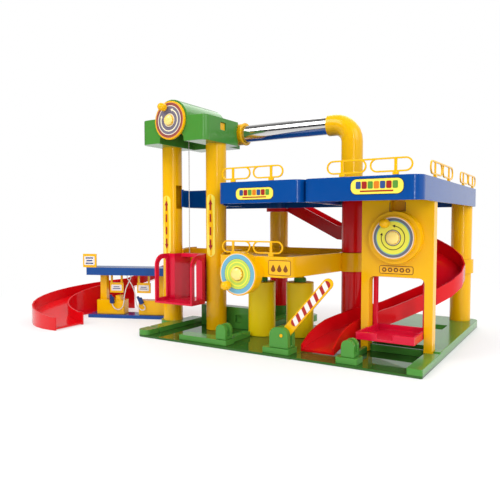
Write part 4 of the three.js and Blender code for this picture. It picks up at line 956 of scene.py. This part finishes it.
@dataclass
class Shells:
    """The moulded shells of all CAD nodes but the cords.

    Args:
        workshop: Maker of the pieces.
        sheet_top: Height that parts the base's flat sheet from its kerbs.
        fine: Words in the names of the nodes with small edges.
    """

    workshop: Workshop
    sheet_top: float = 0.0045
    fine: Tuple[str, ...] = ("railing", "pin", "knob", "nozzle", "pinion", "drum", "idler", "shaft", "cage")

    def build(self) -> None:
        """Dresses each node by its slot."""
        palette = self.workshop.palette
        finishes = {slot: palette.moulded(finish) for slot, finish in MOULDINGS.items()}
        finishes[Slot.CHROME] = palette.chrome()
        special = {"base_": palette.base_sheet(GREEN, self.sheet_top), "nozzle": palette.moulded(NAVY)}
        carried = {node: Body(name) for name, nodes in frame["record"]["behaviour"]["bodies"].items()
                   for node in nodes}
        for entry in frame["record"]["subparts"]:
            node, slot = entry["node"], Slot(entry["material_slot"])
            if slot is Slot.CORD:
                continue
            material = next((made for start, made in special.items() if node.startswith(start)), finishes[slot])
            rounding = FINE_ROUND if any(word in node for word in self.fine) else EDGE_ROUND
            self.workshop.shell(node, material, carried[node], slot, rounding)


@dataclass(frozen=True)
class Station:
    """Place of the filling station in the frame.

    Args:
        origin: Its own zero point.
        heading: How far it is turned about the upright axis.
    """

    origin: Point3 = (-0.528, -0.141, 0.0)
    heading: float = math.radians(23)

    def turn(self, way: Vector) -> Vector:
        """Returns a direction of the station's own frame in the frame of the garage."""
        return Matrix.Rotation(self.heading, 3, "Z") @ way

    def out(self, place: Vector) -> Vector:
        """Returns a point of the station's own frame in the frame of the garage."""
        return Vector(self.origin) + self.turn(place)

    def face_of(self, node: str, plate_height: float) -> Face:
        """Finds the front face of a sign.

        Args:
            node: The sign's CAD node, whose lowest point is its plate's lower edge.
            plate_height: Height of its plate.

        Returns:
            The face, its zero point in the plate's middle.
        """
        right, front = self.turn(RIGHT), self.turn(FRONT)
        points = [vert.co for vert in frame["nodes"][node].data.vertices]
        across = [point.dot(right) for point in points]
        middle = right * ((min(across) + max(across)) / 2) + front * max(point.dot(front) for point in points)
        middle.z = min(point.z for point in points) + plate_height / 2
        return Face(middle, right, front)


STATION = Station()


@dataclass(frozen=True)
class Hose:
    """One pump hose.

    Args:
        side: The pump that it hangs beside.
        route: Its points in the station's own frame, in millimetres.
    """

    side: Side
    route: Tuple[Point3, ...]


HOSES = (
    Hose(Side.LEFT, (
        (104, 4, 102.7), (103.9, 4, 99.5), (103.3, 4, 96), (101, 4, 91), (98, 4, 85), (94.6, 4.1, 78), (91.5, 4.2, 71),
        (89, 4.3, 61.5), (87, 4.4, 52), (86.2, 4.5, 43.5), (85, 4.6, 35), (83.2, 4.6, 29), (80, 4.7, 24.6),
        (75.5, 4.7, 21.4), (70.5, 4.7, 20.4), (65.3, 4.7, 21.6), (61, 4.7, 24.6), (58, 4.7, 29), (56.4, 4.7, 32.5),
        (56, 4.7, 34.7))),
    Hose(Side.RIGHT, (
        (96, 0.2, 102.7), (96.1, 0.2, 99.8), (97.2, 0.1, 96.3), (99.3, 0, 93), (102, 0, 89.6), (105.8, 0, 84),
        (109, 0, 78), (112, 0, 71.2), (114.5, 0, 64), (115.8, 0, 57), (116.6, 0, 50), (117.1, 0.1, 43.4),
        (118.4, 0.3, 37), (120, 0.8, 31.6), (122.6, 1.7, 26.8), (125.6, 2.7, 23.4), (129.2, 3.6, 21.2),
        (133, 4.2, 20.4), (136.6, 4.5, 21.6), (138.6, 4.7, 24), (138.7, 4.7, 27), (137, 4.7, 30),
        (134, 4.7, 33.4))),
)


@dataclass
class Cords:
    """The pump hoses and the lift's cord.

    Args:
        workshop: Maker of the pieces.
        hose_diameter: Thickness of a hose.
        hose_steps: Curve points for each stretch of a hose's route.
        hose_sides: Resolution of a hose's round section.
        lift_diameter: Thickness of the lift's cord.
        yarn_share: Radius of one of its two yarns, as a share of the cord's thickness.
        pitch_share: Length of one turn of the yarns, as a share of the same.
        turn_steps: Steps in one turn.
        yarn_sides: Sides of a yarn.
    """

    workshop: Workshop
    hose_diameter: float = 0.0024
    hose_steps: int = 3
    hose_sides: int = 3
    lift_diameter: float = 0.0020
    yarn_share: float = 0.27
    pitch_share: float = 4.0
    turn_steps: int = 8
    yarn_sides: int = 6

    def build(self) -> None:
        """Makes all cords."""
        vinyl = self.workshop.palette.cord(HOSE_VINYL)
        for hose in HOSES:
            self._hose(hose, vinyl)
        self._lift_cord()

    def _smooth(self, points: Sequence[Vector]) -> List[Vector]:
        """Leads one smooth curve through the points of a route.

        Args:
            points: The points.

        Returns:
            The curve's points, the given ones among them.
        """
        ends = [points[0] * 2 - points[1], *points, points[-1] * 2 - points[-2]]
        path: List[Vector] = []
        for a, b, c, d in zip(ends, ends[1:], ends[2:], ends[3:]):
            for t in (i / self.hose_steps for i in range(self.hose_steps)):
                path.append(0.5 * (2 * b + (c - a) * t + (2 * a - 5 * b + 4 * c - d) * t ** 2
                                   + (3 * b - a - 3 * c + d) * t ** 3))
        return path + [points[-1]]

    def _hose(self, hose: Hose, vinyl: bpy.types.Material) -> None:
        """Makes one hose as a curve of one open spline.

        Args:
            hose: The hose.
            vinyl: Its material.
        """
        path = self._smooth([STATION.out(Vector(point) * MM) for point in hose.route])
        name = f"hose_{hose.side.value}"
        curve = bpy.data.curves.new(f"{name}_line", "CURVE")
        curve.dimensions = "3D"
        curve.bevel_depth = self.hose_diameter / 2
        curve.bevel_resolution = self.hose_sides
        curve.use_fill_caps = True
        spline = curve.splines.new("POLY")
        spline.points.add(len(path) - 1)
        for point, place in zip(spline.points, path):
            point.co = (*place, 1.0)
        curve.materials.append(vinyl)
        piece = linked(f"{name}_line", curve)
        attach(piece, Body.GARAGE.value)
        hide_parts(name)

    def _yarn(self, form: bmesh.types.BMesh, foot: Vector, height: float, phase: float) -> None:
        """Adds one closed yarn that winds round the cord's middle line.

        Args:
            form: The cord's form.
            foot: Lower end of the middle line.
            height: Length of the middle line.
            phase: Angle at which the yarn starts.
        """
        radius = self.lift_diameter * self.yarn_share
        reach = self.lift_diameter / 2 - radius
        steps = math.ceil(height / (self.lift_diameter * self.pitch_share) * self.turn_steps)
        rows = []
        for i in range(steps + 1):
            turn = phase + math.tau * i / self.turn_steps
            middle = foot + Vector((reach * math.cos(turn), reach * math.sin(turn), height * i / steps))
            # A new circle starts on the Y axis, and a yarn's corners start on the X axis
            seat = Matrix.Translation(middle) @ Matrix.Rotation(-math.pi / 2, 4, "Z")
            rows.append(bmesh.ops.create_circle(form, segments=self.yarn_sides, radius=radius, matrix=seat)["verts"])
        for first, second in zip(rows, rows[1:]):
            for k in range(self.yarn_sides):
                j = (k + 1) % self.yarn_sides
                form.faces.new((first[k], first[j], second[j], second[k]))
        form.faces.new(rows[0][::-1])
        form.faces.new(rows[-1])

    def _lift_cord(self) -> None:
        """Makes the taut cord of two twisted yarns between the drum and the cage."""
        low, high = box_of("lift_cord")
        foot = middle_of("lift_cord")
        foot.z = low.z
        form = bmesh.new()
        for phase in (0.0, math.pi):
            self._yarn(form, foot, high.z - low.z, phase)
        Workshop.soften(form)
        piece = linked("lift_cord_twist", mesh_of("lift_cord_twist", form, self.workshop.palette.cord(CORD_YARN)))
        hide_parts("lift_cord")
        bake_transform(piece)
        LOG.info("piece lift_cord_twist on %s and %s: %.1f mm long", Body.GARAGE.value, Body.CAGE.value,
                 (high.z - low.z) / MM)


@dataclass(frozen=True)
class DialPrint:
    """The printed face of one dial.

    Args:
        node: The dial's CAD node.
        body: Its body.
        radius: Radius of the print.
        stops: Rings from the middle outwards, as shares of the radius.
        arrows: Finish of the double arrow, or None.
        arrow_share: Radius of the arrow's circle as a share.
        arrow_ends: Angles of the arrow's ends in degrees.
        arrow_width: Width of the arrow's line.
    """

    node: str
    body: Body
    radius: float
    stops: Stops
    arrows: Optional[Finish] = None
    arrow_share: float = 0.0
    arrow_ends: Point2 = (0.0, 0.0)
    arrow_width: float = 0.0


DARK_RED = rgb(0.25, 0.025, 0.012)
PALE = rgb(0.80, 0.72, 0.55)
VIOLET = rgb(0.13, 0.11, 0.17)
SLATE = rgb(0.10, 0.10, 0.14)
LEMON = rgb(0.78, 0.72, 0.03)
LIME = rgb(0.42, 0.60, 0.05)
SKY = rgb(0.10, 0.36, 0.50)
LINE = rgb(0.02, 0.03, 0.04)
RIM = rgb(0.80, 0.32, 0.10)

DIALS = (
    DialPrint("lift_dial", Body.WINCH, 0.0355, (
        (0.0, PALE), (0.38, LINE), (0.41, VIOLET), (0.785, PALE), (0.825, DARK_RED), (0.975, RIM)),
        INK_CREAM, 0.60, (-196.0, 66.0), 0.0022),
    DialPrint("service_dial", Body.SERVICE, 0.0350, (
        (0.0, PALE), (0.345, LINE), (0.385, LEMON), (0.76, LIME), (0.79, SKY), (0.815, SLATE), (0.935, PALE),
        (0.965, RIM)), INK_DARK, 0.56, (-192.0, 80.0), 0.0011),
    DialPrint("wash_dial", Body.WASH, 0.0360, (
        (0.0, LEMON), (0.30, LINE), (0.335, LEMON), (0.42, LIME), (0.54, LEMON), (0.60, LIME), (0.70, LEMON),
        (0.725, LINE), (0.74, SKY), (0.95, PALE), (0.98, RIM))),
)


@dataclass
class Dials:
    """Printed faces, arrows and pearl domes of the three dials.

    Args:
        workshop: Maker of the pieces.
        printer: Maker of the labels.
        face_depth: How far the printed face lies behind the dial's foremost point.
        hole: Radius of the hole in the print, for the dome.
        arrow_reach: How much longer an arrowhead is than its line is wide.
        dome_radius: Radius of the dome.
        dome_sink: How far its rounding starts behind the dial's foremost point.
        dome_rise: Height of its rounding.
        dome_steps: Steps of its rounding.
        dome_sides: Number of its sides.
    """

    workshop: Workshop
    printer: Printer
    face_depth: float = 0.005
    hole: float = 0.0113
    arrow_reach: float = 0.0035
    dome_radius: float = 0.0108
    dome_sink: float = 0.0012
    dome_rise: float = 0.0045
    dome_steps: int = 8
    dome_sides: int = 48

    def build(self) -> None:
        """Makes the parts of each dial."""
        for dial in DIALS:
            centre = middle_of(dial.node)
            centre.y = box_of(dial.node)[0].y + self.face_depth
            face = Face(centre, RIGHT, FRONT)
            self._print(dial, face)
            if dial.arrows:
                self._arrow(dial, face)
            self._dome(dial, face)

    def _print(self, dial: DialPrint, face: Face) -> None:
        """Lays the rings in two halves.

        Args:
            dial: The dial.
            face: Its face.
        """
        centre = (face.origin.x, 0.0, face.origin.z)
        rings = self.workshop.palette.rings(f"{dial.node}_rings", centre, dial.radius, dial.stops)
        halves = [sector(self.hole, dial.radius, start, start + math.pi) for start in (0.0, math.pi)]
        self.printer.print(f"{dial.node}_print", face, halves, rings, body=dial.body)

    def _arrow(self, dial: DialPrint, face: Face) -> None:
        """Lays the double arrow on the rings.

        Args:
            dial: The dial.
            face: Its face.
        """
        line, half = dial.radius * dial.arrow_share, dial.arrow_width / 2
        start, end = (math.radians(turn) for turn in dial.arrow_ends)
        head = dial.arrow_width + self.arrow_reach
        shapes = [sector(line - half, line + half, start, end), arrowhead(line, end, head),
                  arrowhead(line, start, head, -1)]
        self.printer.print(f"{dial.node}_arrows", face, shapes, dial.arrows, layer=1, body=dial.body)

    def _dome(self, dial: DialPrint, face: Face) -> None:
        """Makes the pearl dome in the middle.

        Args:
            dial: The dial.
            face: Its face.
        """
        foot, shoulder = self.face_depth / 2, self.face_depth - self.dome_sink
        turns = [math.pi / 2 * i / self.dome_steps for i in range(self.dome_steps + 1)]
        profile = [(0.0, foot), (self.dome_radius, foot)]
        profile += [(self.dome_radius * math.cos(turn), shoulder + self.dome_rise * math.sin(turn)) for turn in turns]
        form = turned(profile, face.origin, FRONT, self.dome_sides)
        pearl = self.workshop.palette.moulded(PEARL)
        self.workshop.add(f"{dial.node}_dome", form, pearl, dial.body, Slot.YELLOW)


@dataclass(frozen=True)
class DeckPlate:
    """A plate on the front of an upper deck.

    Args:
        name: First part of its pieces' names.
        node: The deck.
        place: X and Z of its middle.
        size: Width and height.
    """

    name: str
    node: str
    place: Point2
    size: Point2


@dataclass(frozen=True)
class StationSign:
    """A white panel with bars on a sign of the filling station.

    Args:
        name: First part of its pieces' names.
        node: The sign.
        plate_height: Height of the sign's own plate.
        size: Width and height of the panel.
        rows: Number of bars.
    """

    name: str
    node: str
    plate_height: float
    size: Point2
    rows: int


DECK_PLATES = (DeckPlate("left_plate", "deck_top_left", (-0.0115, 0.2785), (0.077, 0.0215)),
               DeckPlate("right_plate", "deck_top_right", (0.2070, 0.2835), (0.084, 0.0245)))
BLOCK_INKS = ((INK_BLUE, Slot.BLUE), (INK_RED, Slot.RED), (INK_GREEN, Slot.GREEN), (INK_ORANGE, Slot.RED))
STATION_SIGNS = (StationSign("roof_sign", "station_sign", 0.032, (0.026, 0.021), 3),
                 StationSign("hang_sign_left", "pump_sign_left", 0.024, (0.026, 0.014), 2),
                 StationSign("hang_sign_right", "pump_sign_right", 0.024, (0.026, 0.014), 2))


@dataclass
class DeckSigns:
    """Yellow plates with coloured blocks on the fronts of both upper decks.

    Args:
        printer: Maker of the labels.
        line: Width of a plate's border.
        corner_share: Radius of its corners, as a share of its height.
        blocks: Number of blocks on a plate.
        pitch_share: Distance from block to block, as a share of the plate's width.
        block_shares: Width and corner radius of a block, as shares of the pitch.
        block_height_shares: Height and place of a block, as shares of the plate's height.
        underline_share: Width of the line under the blocks, as a share of the plate's width.
        underline_height_shares: Height and place of that line, as shares of the plate's height.
    """

    printer: Printer
    line: float = 0.0008
    corner_share: float = 0.42
    blocks: int = 7
    pitch_share: float = 0.115
    block_shares: Point2 = (0.84, 0.2)
    block_height_shares: Point2 = (0.46, 0.09)
    underline_share: float = 0.62
    underline_height_shares: Point2 = (0.09, -0.29)

    def build(self) -> None:
        """Lays both plates."""
        for plate in DECK_PLATES:
            low, _ = box_of(plate.node)
            self._plate(plate, Face(Vector((plate.place[0], low.y, plate.place[1])), RIGHT, FRONT))

    def _plate(self, plate: DeckPlate, face: Face) -> None:
        """Lays one plate, its blocks and the line under them.

        Args:
            plate: The plate.
            face: The deck's front, its zero point in the plate's middle.
        """
        width, height = plate.size
        self.printer.plate(plate.name, face, plate.size, height * self.corner_share, self.line, INK_YELLOW,
                           INK_DARK, Slot.BLUE)
        pitch = width * self.pitch_share
        block_width, block_corner = (pitch * share for share in self.block_shares)
        block_height, block_place = (height * share for share in self.block_height_shares)
        for kind, (finish, slot) in enumerate(BLOCK_INKS):
            blocks = [panel((i - self.blocks // 2) * pitch, block_place, block_width, block_height, block_corner)
                      for i in range(kind, self.blocks, len(BLOCK_INKS))]
            self.printer.print(f"{plate.name}_blocks_{kind + 1}", face, blocks, finish, slot, 2)
        line_height, line_place = (height * share for share in self.underline_height_shares)
        underline = bar(0, line_place, width * self.underline_share, line_height)
        self.printer.print(f"{plate.name}_line", face, [underline], INK_RED, Slot.RED, 2)


@dataclass
class BaySigns:
    """Amber signs over the car wash and in the tower, and the lines in the recess above the service dial.

    Args:
        printer: Maker of the labels.
        corner: Radius of an amber sign's corners.
        line: Width of its border.
        wash_place: X and Z of the wash sign's middle.
        wash_size: Its width and height.
        drop_pitch: Distance from drop to drop.
        drop_fall: How far a drop's round end lies under the sign's middle.
        drop_radius: Radius of a drop.
        service_place: X and Z of the tower sign's middle.
        service_depth: How far it lies in front of the tower's back.
        service_size: Its width and height.
        nuts: Number of nuts.
        nut_pitch: Distance from nut to nut.
        nut_radius: Radius of a nut's corners.
        nut_hole: Radius of its hole's corners.
        recess_depth: How far the recess's lines lie behind the tower's front.
        recess_middle: Height of their middle.
        recess_shift: How far they lie to the right of the service dial's middle.
        recess_half: Distance from their middle to the upright lines.
        recess_height: Length of the upright lines.
        recess_foot: Distance from their middle down to the level line.
        recess_line: Width of a line.
    """

    printer: Printer
    corner: float = 0.0035
    line: float = 0.0011
    wash_place: Point2 = (0.0390, 0.1510)
    wash_size: Point2 = (0.044, 0.026)
    drop_pitch: float = 0.012
    drop_fall: float = 0.0030
    drop_radius: float = 0.0042
    service_place: Point2 = (0.2100, 0.1485)
    service_depth: float = 0.021
    service_size: Point2 = (0.058, 0.014)
    nuts: int = 5
    nut_pitch: float = 0.010
    nut_radius: float = 0.0042
    nut_hole: float = 0.0020
    recess_depth: float = 0.014
    recess_middle: float = 0.2545
    recess_shift: float = 0.001
    recess_half: float = 0.0130
    recess_height: float = 0.0150
    recess_foot: float = 0.0074
    recess_line: float = 0.0012

    def build(self) -> None:
        """Lays the signs and the lines."""
        deck, _ = box_of("deck_top_left")
        tower, tower_back = box_of("service_tower")
        drops = [drop(i * self.drop_pitch, -self.drop_fall, self.drop_radius) for i in (-1, 0, 1)]
        self._sign("wash_sign", "drops", self.wash_place, deck.y, self.wash_size, drops)
        nuts = [piece for i in range(self.nuts)
                for piece in nut((i - self.nuts // 2) * self.nut_pitch, self.nut_radius, self.nut_hole)]
        self._sign("service_sign", "nuts", self.service_place, tower_back.y - self.service_depth,
                   self.service_size, nuts)
        self._recess(tower.y + self.recess_depth)

    def _sign(self, name: str, figure: str, place: Point2, front: float, size: Point2,
              shapes: List[Outline]) -> None:
        """Lays an amber sign with brown figures.

        Args:
            name: First part of the pieces' names.
            figure: Name of the figures.
            place: X and Z of its middle.
            front: Y of the face that it lies on.
            size: Width and height.
            shapes: Outlines of the figures.
        """
        face = Face(Vector((place[0], front, place[1])), RIGHT, FRONT)
        self.printer.plate(name, face, size, self.corner, self.line, INK_AMBER, INK_BROWN)
        self.printer.print(f"{name}_{figure}", face, shapes, INK_BROWN, layer=2)

    def _recess(self, wall: float) -> None:
        """Lays brown lines in the recess at the top of the tower.

        Args:
            wall: Y of the face that they lie on.
        """
        middle = Vector((middle_of("service_dial").x + self.recess_shift, wall, self.recess_middle))
        width = self.recess_half * 2 + self.recess_line
        lines = [bar(side * self.recess_half, 0.0, self.recess_line, self.recess_height) for side in (-1, 1)]
        lines.append(bar(0.0, -self.recess_foot, width, self.recess_line))
        self.printer.print("slot_frame", Face(middle, RIGHT, FRONT), lines, INK_BROWN)


@dataclass
class LiftStrips:
    """Upright yellow strips with red arrows on both lift columns.

    Args:
        printer: Maker of the labels.
        bottom: Height of a strip's lower end.
        top: Height of its upper end.
        half: Half of its width, and the radius of its ends.
        facing: Angle in plan that a strip faces.
        arrow_width: Width of an arrow's head.
        stem_width: Width of a loose stem.
        arrow_share: Length of an arrow, as a share of the strip's length.
        stem_share: Length of a loose stem, as a share of the same.
        arrow_place_shares: Places of the two arrows, as shares of the same.
        stem_place_shares: Places of the two stems, as shares of the same.
    """

    printer: Printer
    bottom: float = 0.158
    top: float = 0.286
    half: float = 0.01
    facing: float = math.radians(-88)
    arrow_width: float = 0.0095
    stem_width: float = 0.0032
    arrow_share: float = 0.17
    stem_share: float = 0.13
    arrow_place_shares: Point2 = (0.33, -0.31)
    stem_place_shares: Point2 = (0.12, -0.09)

    def build(self) -> None:
        """Wraps a strip round each column."""
        length = self.top - self.bottom
        end = length / 2 - self.half
        strip = arc(0, end, self.half, 0, math.pi) + arc(0, -end, self.half, math.pi, math.tau)
        marks = [pointer(length * share, self.arrow_width, length * self.arrow_share, way)
                 for share, way in zip(self.arrow_place_shares, (1, -1))]
        marks += [bar(0, length * share, self.stem_width, length * self.stem_share)
                  for share in self.stem_place_shares]
        for side in (Side.LEFT, Side.RIGHT):
            low, high = box_of(f"lift_column_{side.value}")
            middle = (low + high) / 2
            middle.z = (self.bottom + self.top) / 2
            ring = Ring(middle, (high.x - low.x) / 2, self.facing)
            self.printer.print(f"lift_strip_{side.value}", ring, [strip], INK_YELLOW)
            self.printer.print(f"lift_marks_{side.value}", ring, marks, INK_RED, Slot.RED, 1)


@dataclass
class StationSigns:
    """White panels with bars on the filling station's three signs.

    Args:
        printer: Maker of the labels.
        corner: Radius of a panel's corners.
        pitch_share: Distance from bar to bar, as a share of the panel's height.
        bar_height_share: Height of a bar, as a share of the same.
        bar_width_shares: Width of the bars in turn, as shares of the panel's width.
    """

    printer: Printer
    corner: float = 0.002
    pitch_share: float = 0.3
    bar_height_share: float = 0.13
    bar_width_shares: Point2 = (0.72, 0.56)

    def build(self) -> None:
        """Lays all three panels."""
        for sign in STATION_SIGNS:
            width, height = sign.size
            face = STATION.face_of(sign.node, sign.plate_height)
            self.printer.print(f"{sign.name}_panel", face, [panel(0, 0, width, height, self.corner)], INK_WHITE)
            bars = [bar(0, (i - (sign.rows - 1) / 2) * height * self.pitch_share,
                        width * self.bar_width_shares[i % 2], height * self.bar_height_share)
                    for i in range(sign.rows)]
            self.printer.print(f"{sign.name}_bars", face, bars, INK_BLUE, Slot.BLUE, 1)


@dataclass
class Barrier:
    """Striped panels on both sides of the barrier's arm.

    Args:
        printer: Maker of the labels.
        rise: Angle of the arm above level, at rest, in degrees.
        start: Distance from the pivot to a panel's near end.
        end: Distance from the pivot to its far end.
        half: Half of its width.
        corner_share: Radius of its corners, as a share of the half width.
        pitch: Distance from bar to bar.
        lean: How far a bar leans for each metre across.
    """

    printer: Printer
    rise: float = 49.0
    start: float = 0.024
    end: float = 0.1265
    half: float = 0.0062
    corner_share: float = 0.98
    pitch: float = 0.0164
    lean: float = -0.42

    def build(self) -> None:
        """Lays a striped panel on each side."""
        joint = next(joint for joint in frame["joints"] if joint["name"] == "barrier_swing")
        pivot = Vector(joint["pos_m"])
        low, high = box_of("barrier_arm")
        rise = math.radians(self.rise)
        along = Vector((math.cos(rise), 0.0, math.sin(rise)))
        stripes = self.printer.workshop.palette.stripes("barrier_stripes", along, self.pitch, self.lean)
        for side, way, y in ((Side.FRONT, 1, low.y), (Side.BACK, -1, high.y)):
            face = Face(Vector((pivot.x, y, pivot.z)), along * way, FRONT * way)
            shape = panel((self.start + self.end) / 2 * way, 0.0, self.end - self.start, self.half * 2,
                          self.half * self.corner_share)
            self.printer.print(f"barrier_panel_{side.value}", face, [shape], stripes, body=Body.BARRIER)


@dataclass
class Details:
    """Small moulded pieces that the shells carry.

    Args:
        workshop: Maker of the pieces.
        shoulder: Height of the wash rollers' shoulder.
        neck: Inner radius of a collar.
        rim: Outer radius of a collar.
        collar_height: Its height.
        straight_share: Share of the height up to which its side is straight.
        chamfer: How much narrower its top is.
        collar_sides: Number of its sides.
        key_inset: How far the key starts to the right of the right column's middle.
        key_gap: How far it ends inside the winch housing's right side.
        key_depth: Y of its front and back.
        key_height: Z of its lower and upper face.
    """

    workshop: Workshop
    shoulder: float = 0.111
    neck: float = 0.0083
    rim: float = 0.0122
    collar_height: float = 0.0085
    straight_share: float = 0.7
    chamfer: float = 0.0015
    collar_sides: int = 32
    key_inset: float = 0.009
    key_gap: float = 0.003
    key_depth: Point2 = (-0.1235, -0.1055)
    key_height: Point2 = (0.4163, 0.4307)

    def build(self) -> None:
        """Makes the rollers' collars and the column's key."""
        profile = [(self.neck, 0.0), (self.rim, 0.0), (self.rim, self.collar_height * self.straight_share),
                   (self.rim - self.chamfer, self.collar_height), (self.neck, self.collar_height)]
        green = self.workshop.palette.moulded(GREEN)
        for side, body in ((Side.FRONT, Body.ROLLER_FRONT), (Side.BACK, Body.ROLLER_BACK)):
            origin = middle_of(f"wash_roller_{side.value}")
            origin.z = self.shoulder + INK_GAP
            form = turned(profile, origin, UP, self.collar_sides, closed=True)
            self.workshop.add(f"roller_collar_{side.value}", form, green, body, Slot.GREEN)
        self._column_key()

    def _column_key(self) -> None:
        """Makes the yellow end of the right lift column that shows in the housing's side window."""
        _, head = box_of("lift_head")
        low = Vector((middle_of("lift_column_right").x + self.key_inset, self.key_depth[0], self.key_height[0]))
        high = Vector((head.x - self.key_gap, self.key_depth[1], self.key_height[1]))
        form = bmesh.new()
        bmesh.ops.create_cube(form, size=1.0, matrix=Matrix.LocRotScale((low + high) / 2, None, high - low))
        self.workshop.add("column_key", form, self.workshop.palette.moulded(YELLOW), Body.GARAGE, Slot.YELLOW)


@dataclass(frozen=True)
class Lamp:
    """A soft area light.

    Args:
        name: Its name.
        place: Where it stands.
        size: Width and height of its face.
        power: Its power in watts.
    """

    name: str
    place: Point3
    size: Point2
    power: float


LAMPS = (
    Lamp("key_light", (-0.9, -1.6, 1.9), (1.3, 1.3), 26.0),
    Lamp("side_light", (1.9, -0.5, 1.3), (1.2, 1.2), 14.0),
    Lamp("back_light", (-0.3, 1.6, 1.8), (1.5, 1.5), 12.0),
    Lamp("strip_light", (1.25, -1.45, 0.6), (0.12, 1.6), 9.0),
)
BACKDROP = ((0.0, rgb(0.04, 0.04, 0.045)), (0.30, rgb(0.07, 0.07, 0.075)), (0.55, rgb(0.22, 0.22, 0.22)),
            (0.72, rgb(0.75, 0.75, 0.75)), (1.0, rgb(0.95, 0.95, 0.95)))
WHITE = rgb(1.0, 1.0, 1.0)


@dataclass
class Studio:
    """Camera, floor, backdrop and soft light.

    Args:
        camera_place: Where the photograph was taken from.
        camera_turn: How far the view turns to the left of straight back, in degrees.
        camera_pitch: How far it looks down, in degrees.
        lens: Focal length in millimetres.
        sensor: Width of the sensor in millimetres.
        near: Distance at which the camera starts to see.
        aim: Point that the lamps look at.
        bright_way: Direction whose reflection is brightest.
        ambient: Colour of the light from all sides.
        floor_reach: Distance from the middle of the floor to its edges.
        floor_drop: How far it lies under the toy.
        floor_roughness: Its roughness.
        floor_grain: Its pattern.
        floor_tones: The pattern's colours.
        fade_range: Distances between which the floor fades to white.
        fade_shares: Share of white at those distances.
    """

    camera_place: Point3 = (0.4805, -1.0223, 0.2291)
    camera_turn: float = 32.1
    camera_pitch: float = 2.98
    lens: float = 38.7
    sensor: float = 36.0
    near: float = 0.01
    aim: Point3 = (0.0, 0.0, 0.2)
    bright_way: Point3 = (0.45, 0.86, 0.25)
    ambient: Colour = rgb(0.85, 0.85, 0.85)
    floor_reach: float = 30.0
    floor_drop: float = 0.0002
    floor_roughness: float = 0.5
    floor_grain: Grain = Grain(3.0, 2.0)
    floor_tones: Stops = ((0.0, rgb(0.93, 0.93, 0.93)), (1.0, rgb(0.96, 0.96, 0.96)))
    fade_range: Point2 = (0.3, 1.1)
    fade_shares: Point2 = (0.35, 1.0)

    def build(self) -> None:
        """Sets up the stage."""
        self._camera()
        self._world()
        self._floor()
        for lamp in LAMPS:
            self._light(lamp)
        bpy.context.scene.view_settings.view_transform = "Standard"

    def _camera(self) -> None:
        """Places the camera where the photograph was taken from."""
        camera = bpy.data.cameras.new("camera")
        camera.lens = self.lens
        camera.sensor_width = self.sensor
        camera.clip_start = self.near
        holder = linked("camera", camera)
        holder.location = self.camera_place
        holder.rotation_euler = (math.radians(90 - self.camera_pitch), 0.0, math.radians(self.camera_turn))
        bpy.context.scene.camera = holder

    def _world(self) -> None:
        """Makes a white backdrop whose reflection is bright behind the garage and dark in front of it."""
        world = bpy.data.worlds.new("studio_world")
        world.use_nodes = True
        graph = Graph(world.node_tree)
        rays = graph.node("ShaderNodeLightPath").outputs
        way = graph.node("ShaderNodeTexCoord").outputs["Generated"]
        toward = graph.vector("DOT_PRODUCT", way, self.bright_way, output="Value")
        band = graph.ramp(graph.math("MULTIPLY_ADD", toward, 0.5, 0.5), BACKDROP)
        thrown = graph.mix(rays["Is Glossy Ray"], self.ambient, band)
        back = graph.node("ShaderNodeBackground", {"Color": graph.mix(rays["Is Camera Ray"], thrown, WHITE)})
        graph.node("ShaderNodeOutputWorld", {"Surface": back.outputs["Background"]})
        bpy.context.scene.world = world

    def _floor(self) -> None:
        """Makes a wide pale floor that fades to white away from the toy."""
        material = bpy.data.materials.new("studio_floor")
        material.use_nodes = True
        graph = Graph(material.node_tree)
        coords = graph.coords()
        tone = graph.ramp(graph.noise(coords, self.floor_grain), self.floor_tones)
        shader = graph.node("ShaderNodeBsdfPrincipled", {"Base Color": tone, "Roughness": self.floor_roughness})
        far = graph.spread(graph.vector("LENGTH", coords, output="Value"), self.fade_shares, self.fade_range)
        white = graph.node("ShaderNodeEmission", {"Color": WHITE})
        blend = graph.node("ShaderNodeMixShader", {0: far, 1: shader.outputs["BSDF"], 2: white.outputs["Emission"]})
        graph.node("ShaderNodeOutputMaterial", {"Surface": blend.outputs["Shader"]})
        form = bmesh.new()
        bmesh.ops.create_grid(form, x_segments=1, y_segments=1, size=self.floor_reach,
                              matrix=Matrix.Translation((0.0, 0.0, -self.floor_drop)))
        linked("studio_floor", mesh_of("studio_floor", form, material))

    def _light(self, lamp: Lamp) -> None:
        """Adds a lamp that looks at the garage.

        Args:
            lamp: The lamp.
        """
        light = bpy.data.lights.new(lamp.name, "AREA")
        light.shape = "RECTANGLE"
        light.size, light.size_y = lamp.size
        light.energy = lamp.power
        holder = linked(lamp.name, light)
        holder.location = lamp.place
        way = Vector(self.aim) - Vector(lamp.place)
        holder.rotation_euler = way.to_track_quat("-Z", "Y").to_euler()


def main() -> None:
    """Builds the whole scene."""
    logging.basicConfig(level=logging.INFO, format="%(message)s")
    workshop = Workshop(Palette())
    printer = Printer(workshop)
    Studio().build()
    Shells(workshop).build()
    Cords(workshop).build()
    Dials(workshop, printer).build()
    DeckSigns(printer).build()
    BaySigns(printer).build()
    LiftStrips(printer).build()
    StationSigns(printer).build()
    Barrier(printer).build()
    Details(workshop).build()
    LOG.info("%d pieces", workshop.count)


if __name__ == "__main__":
    main()
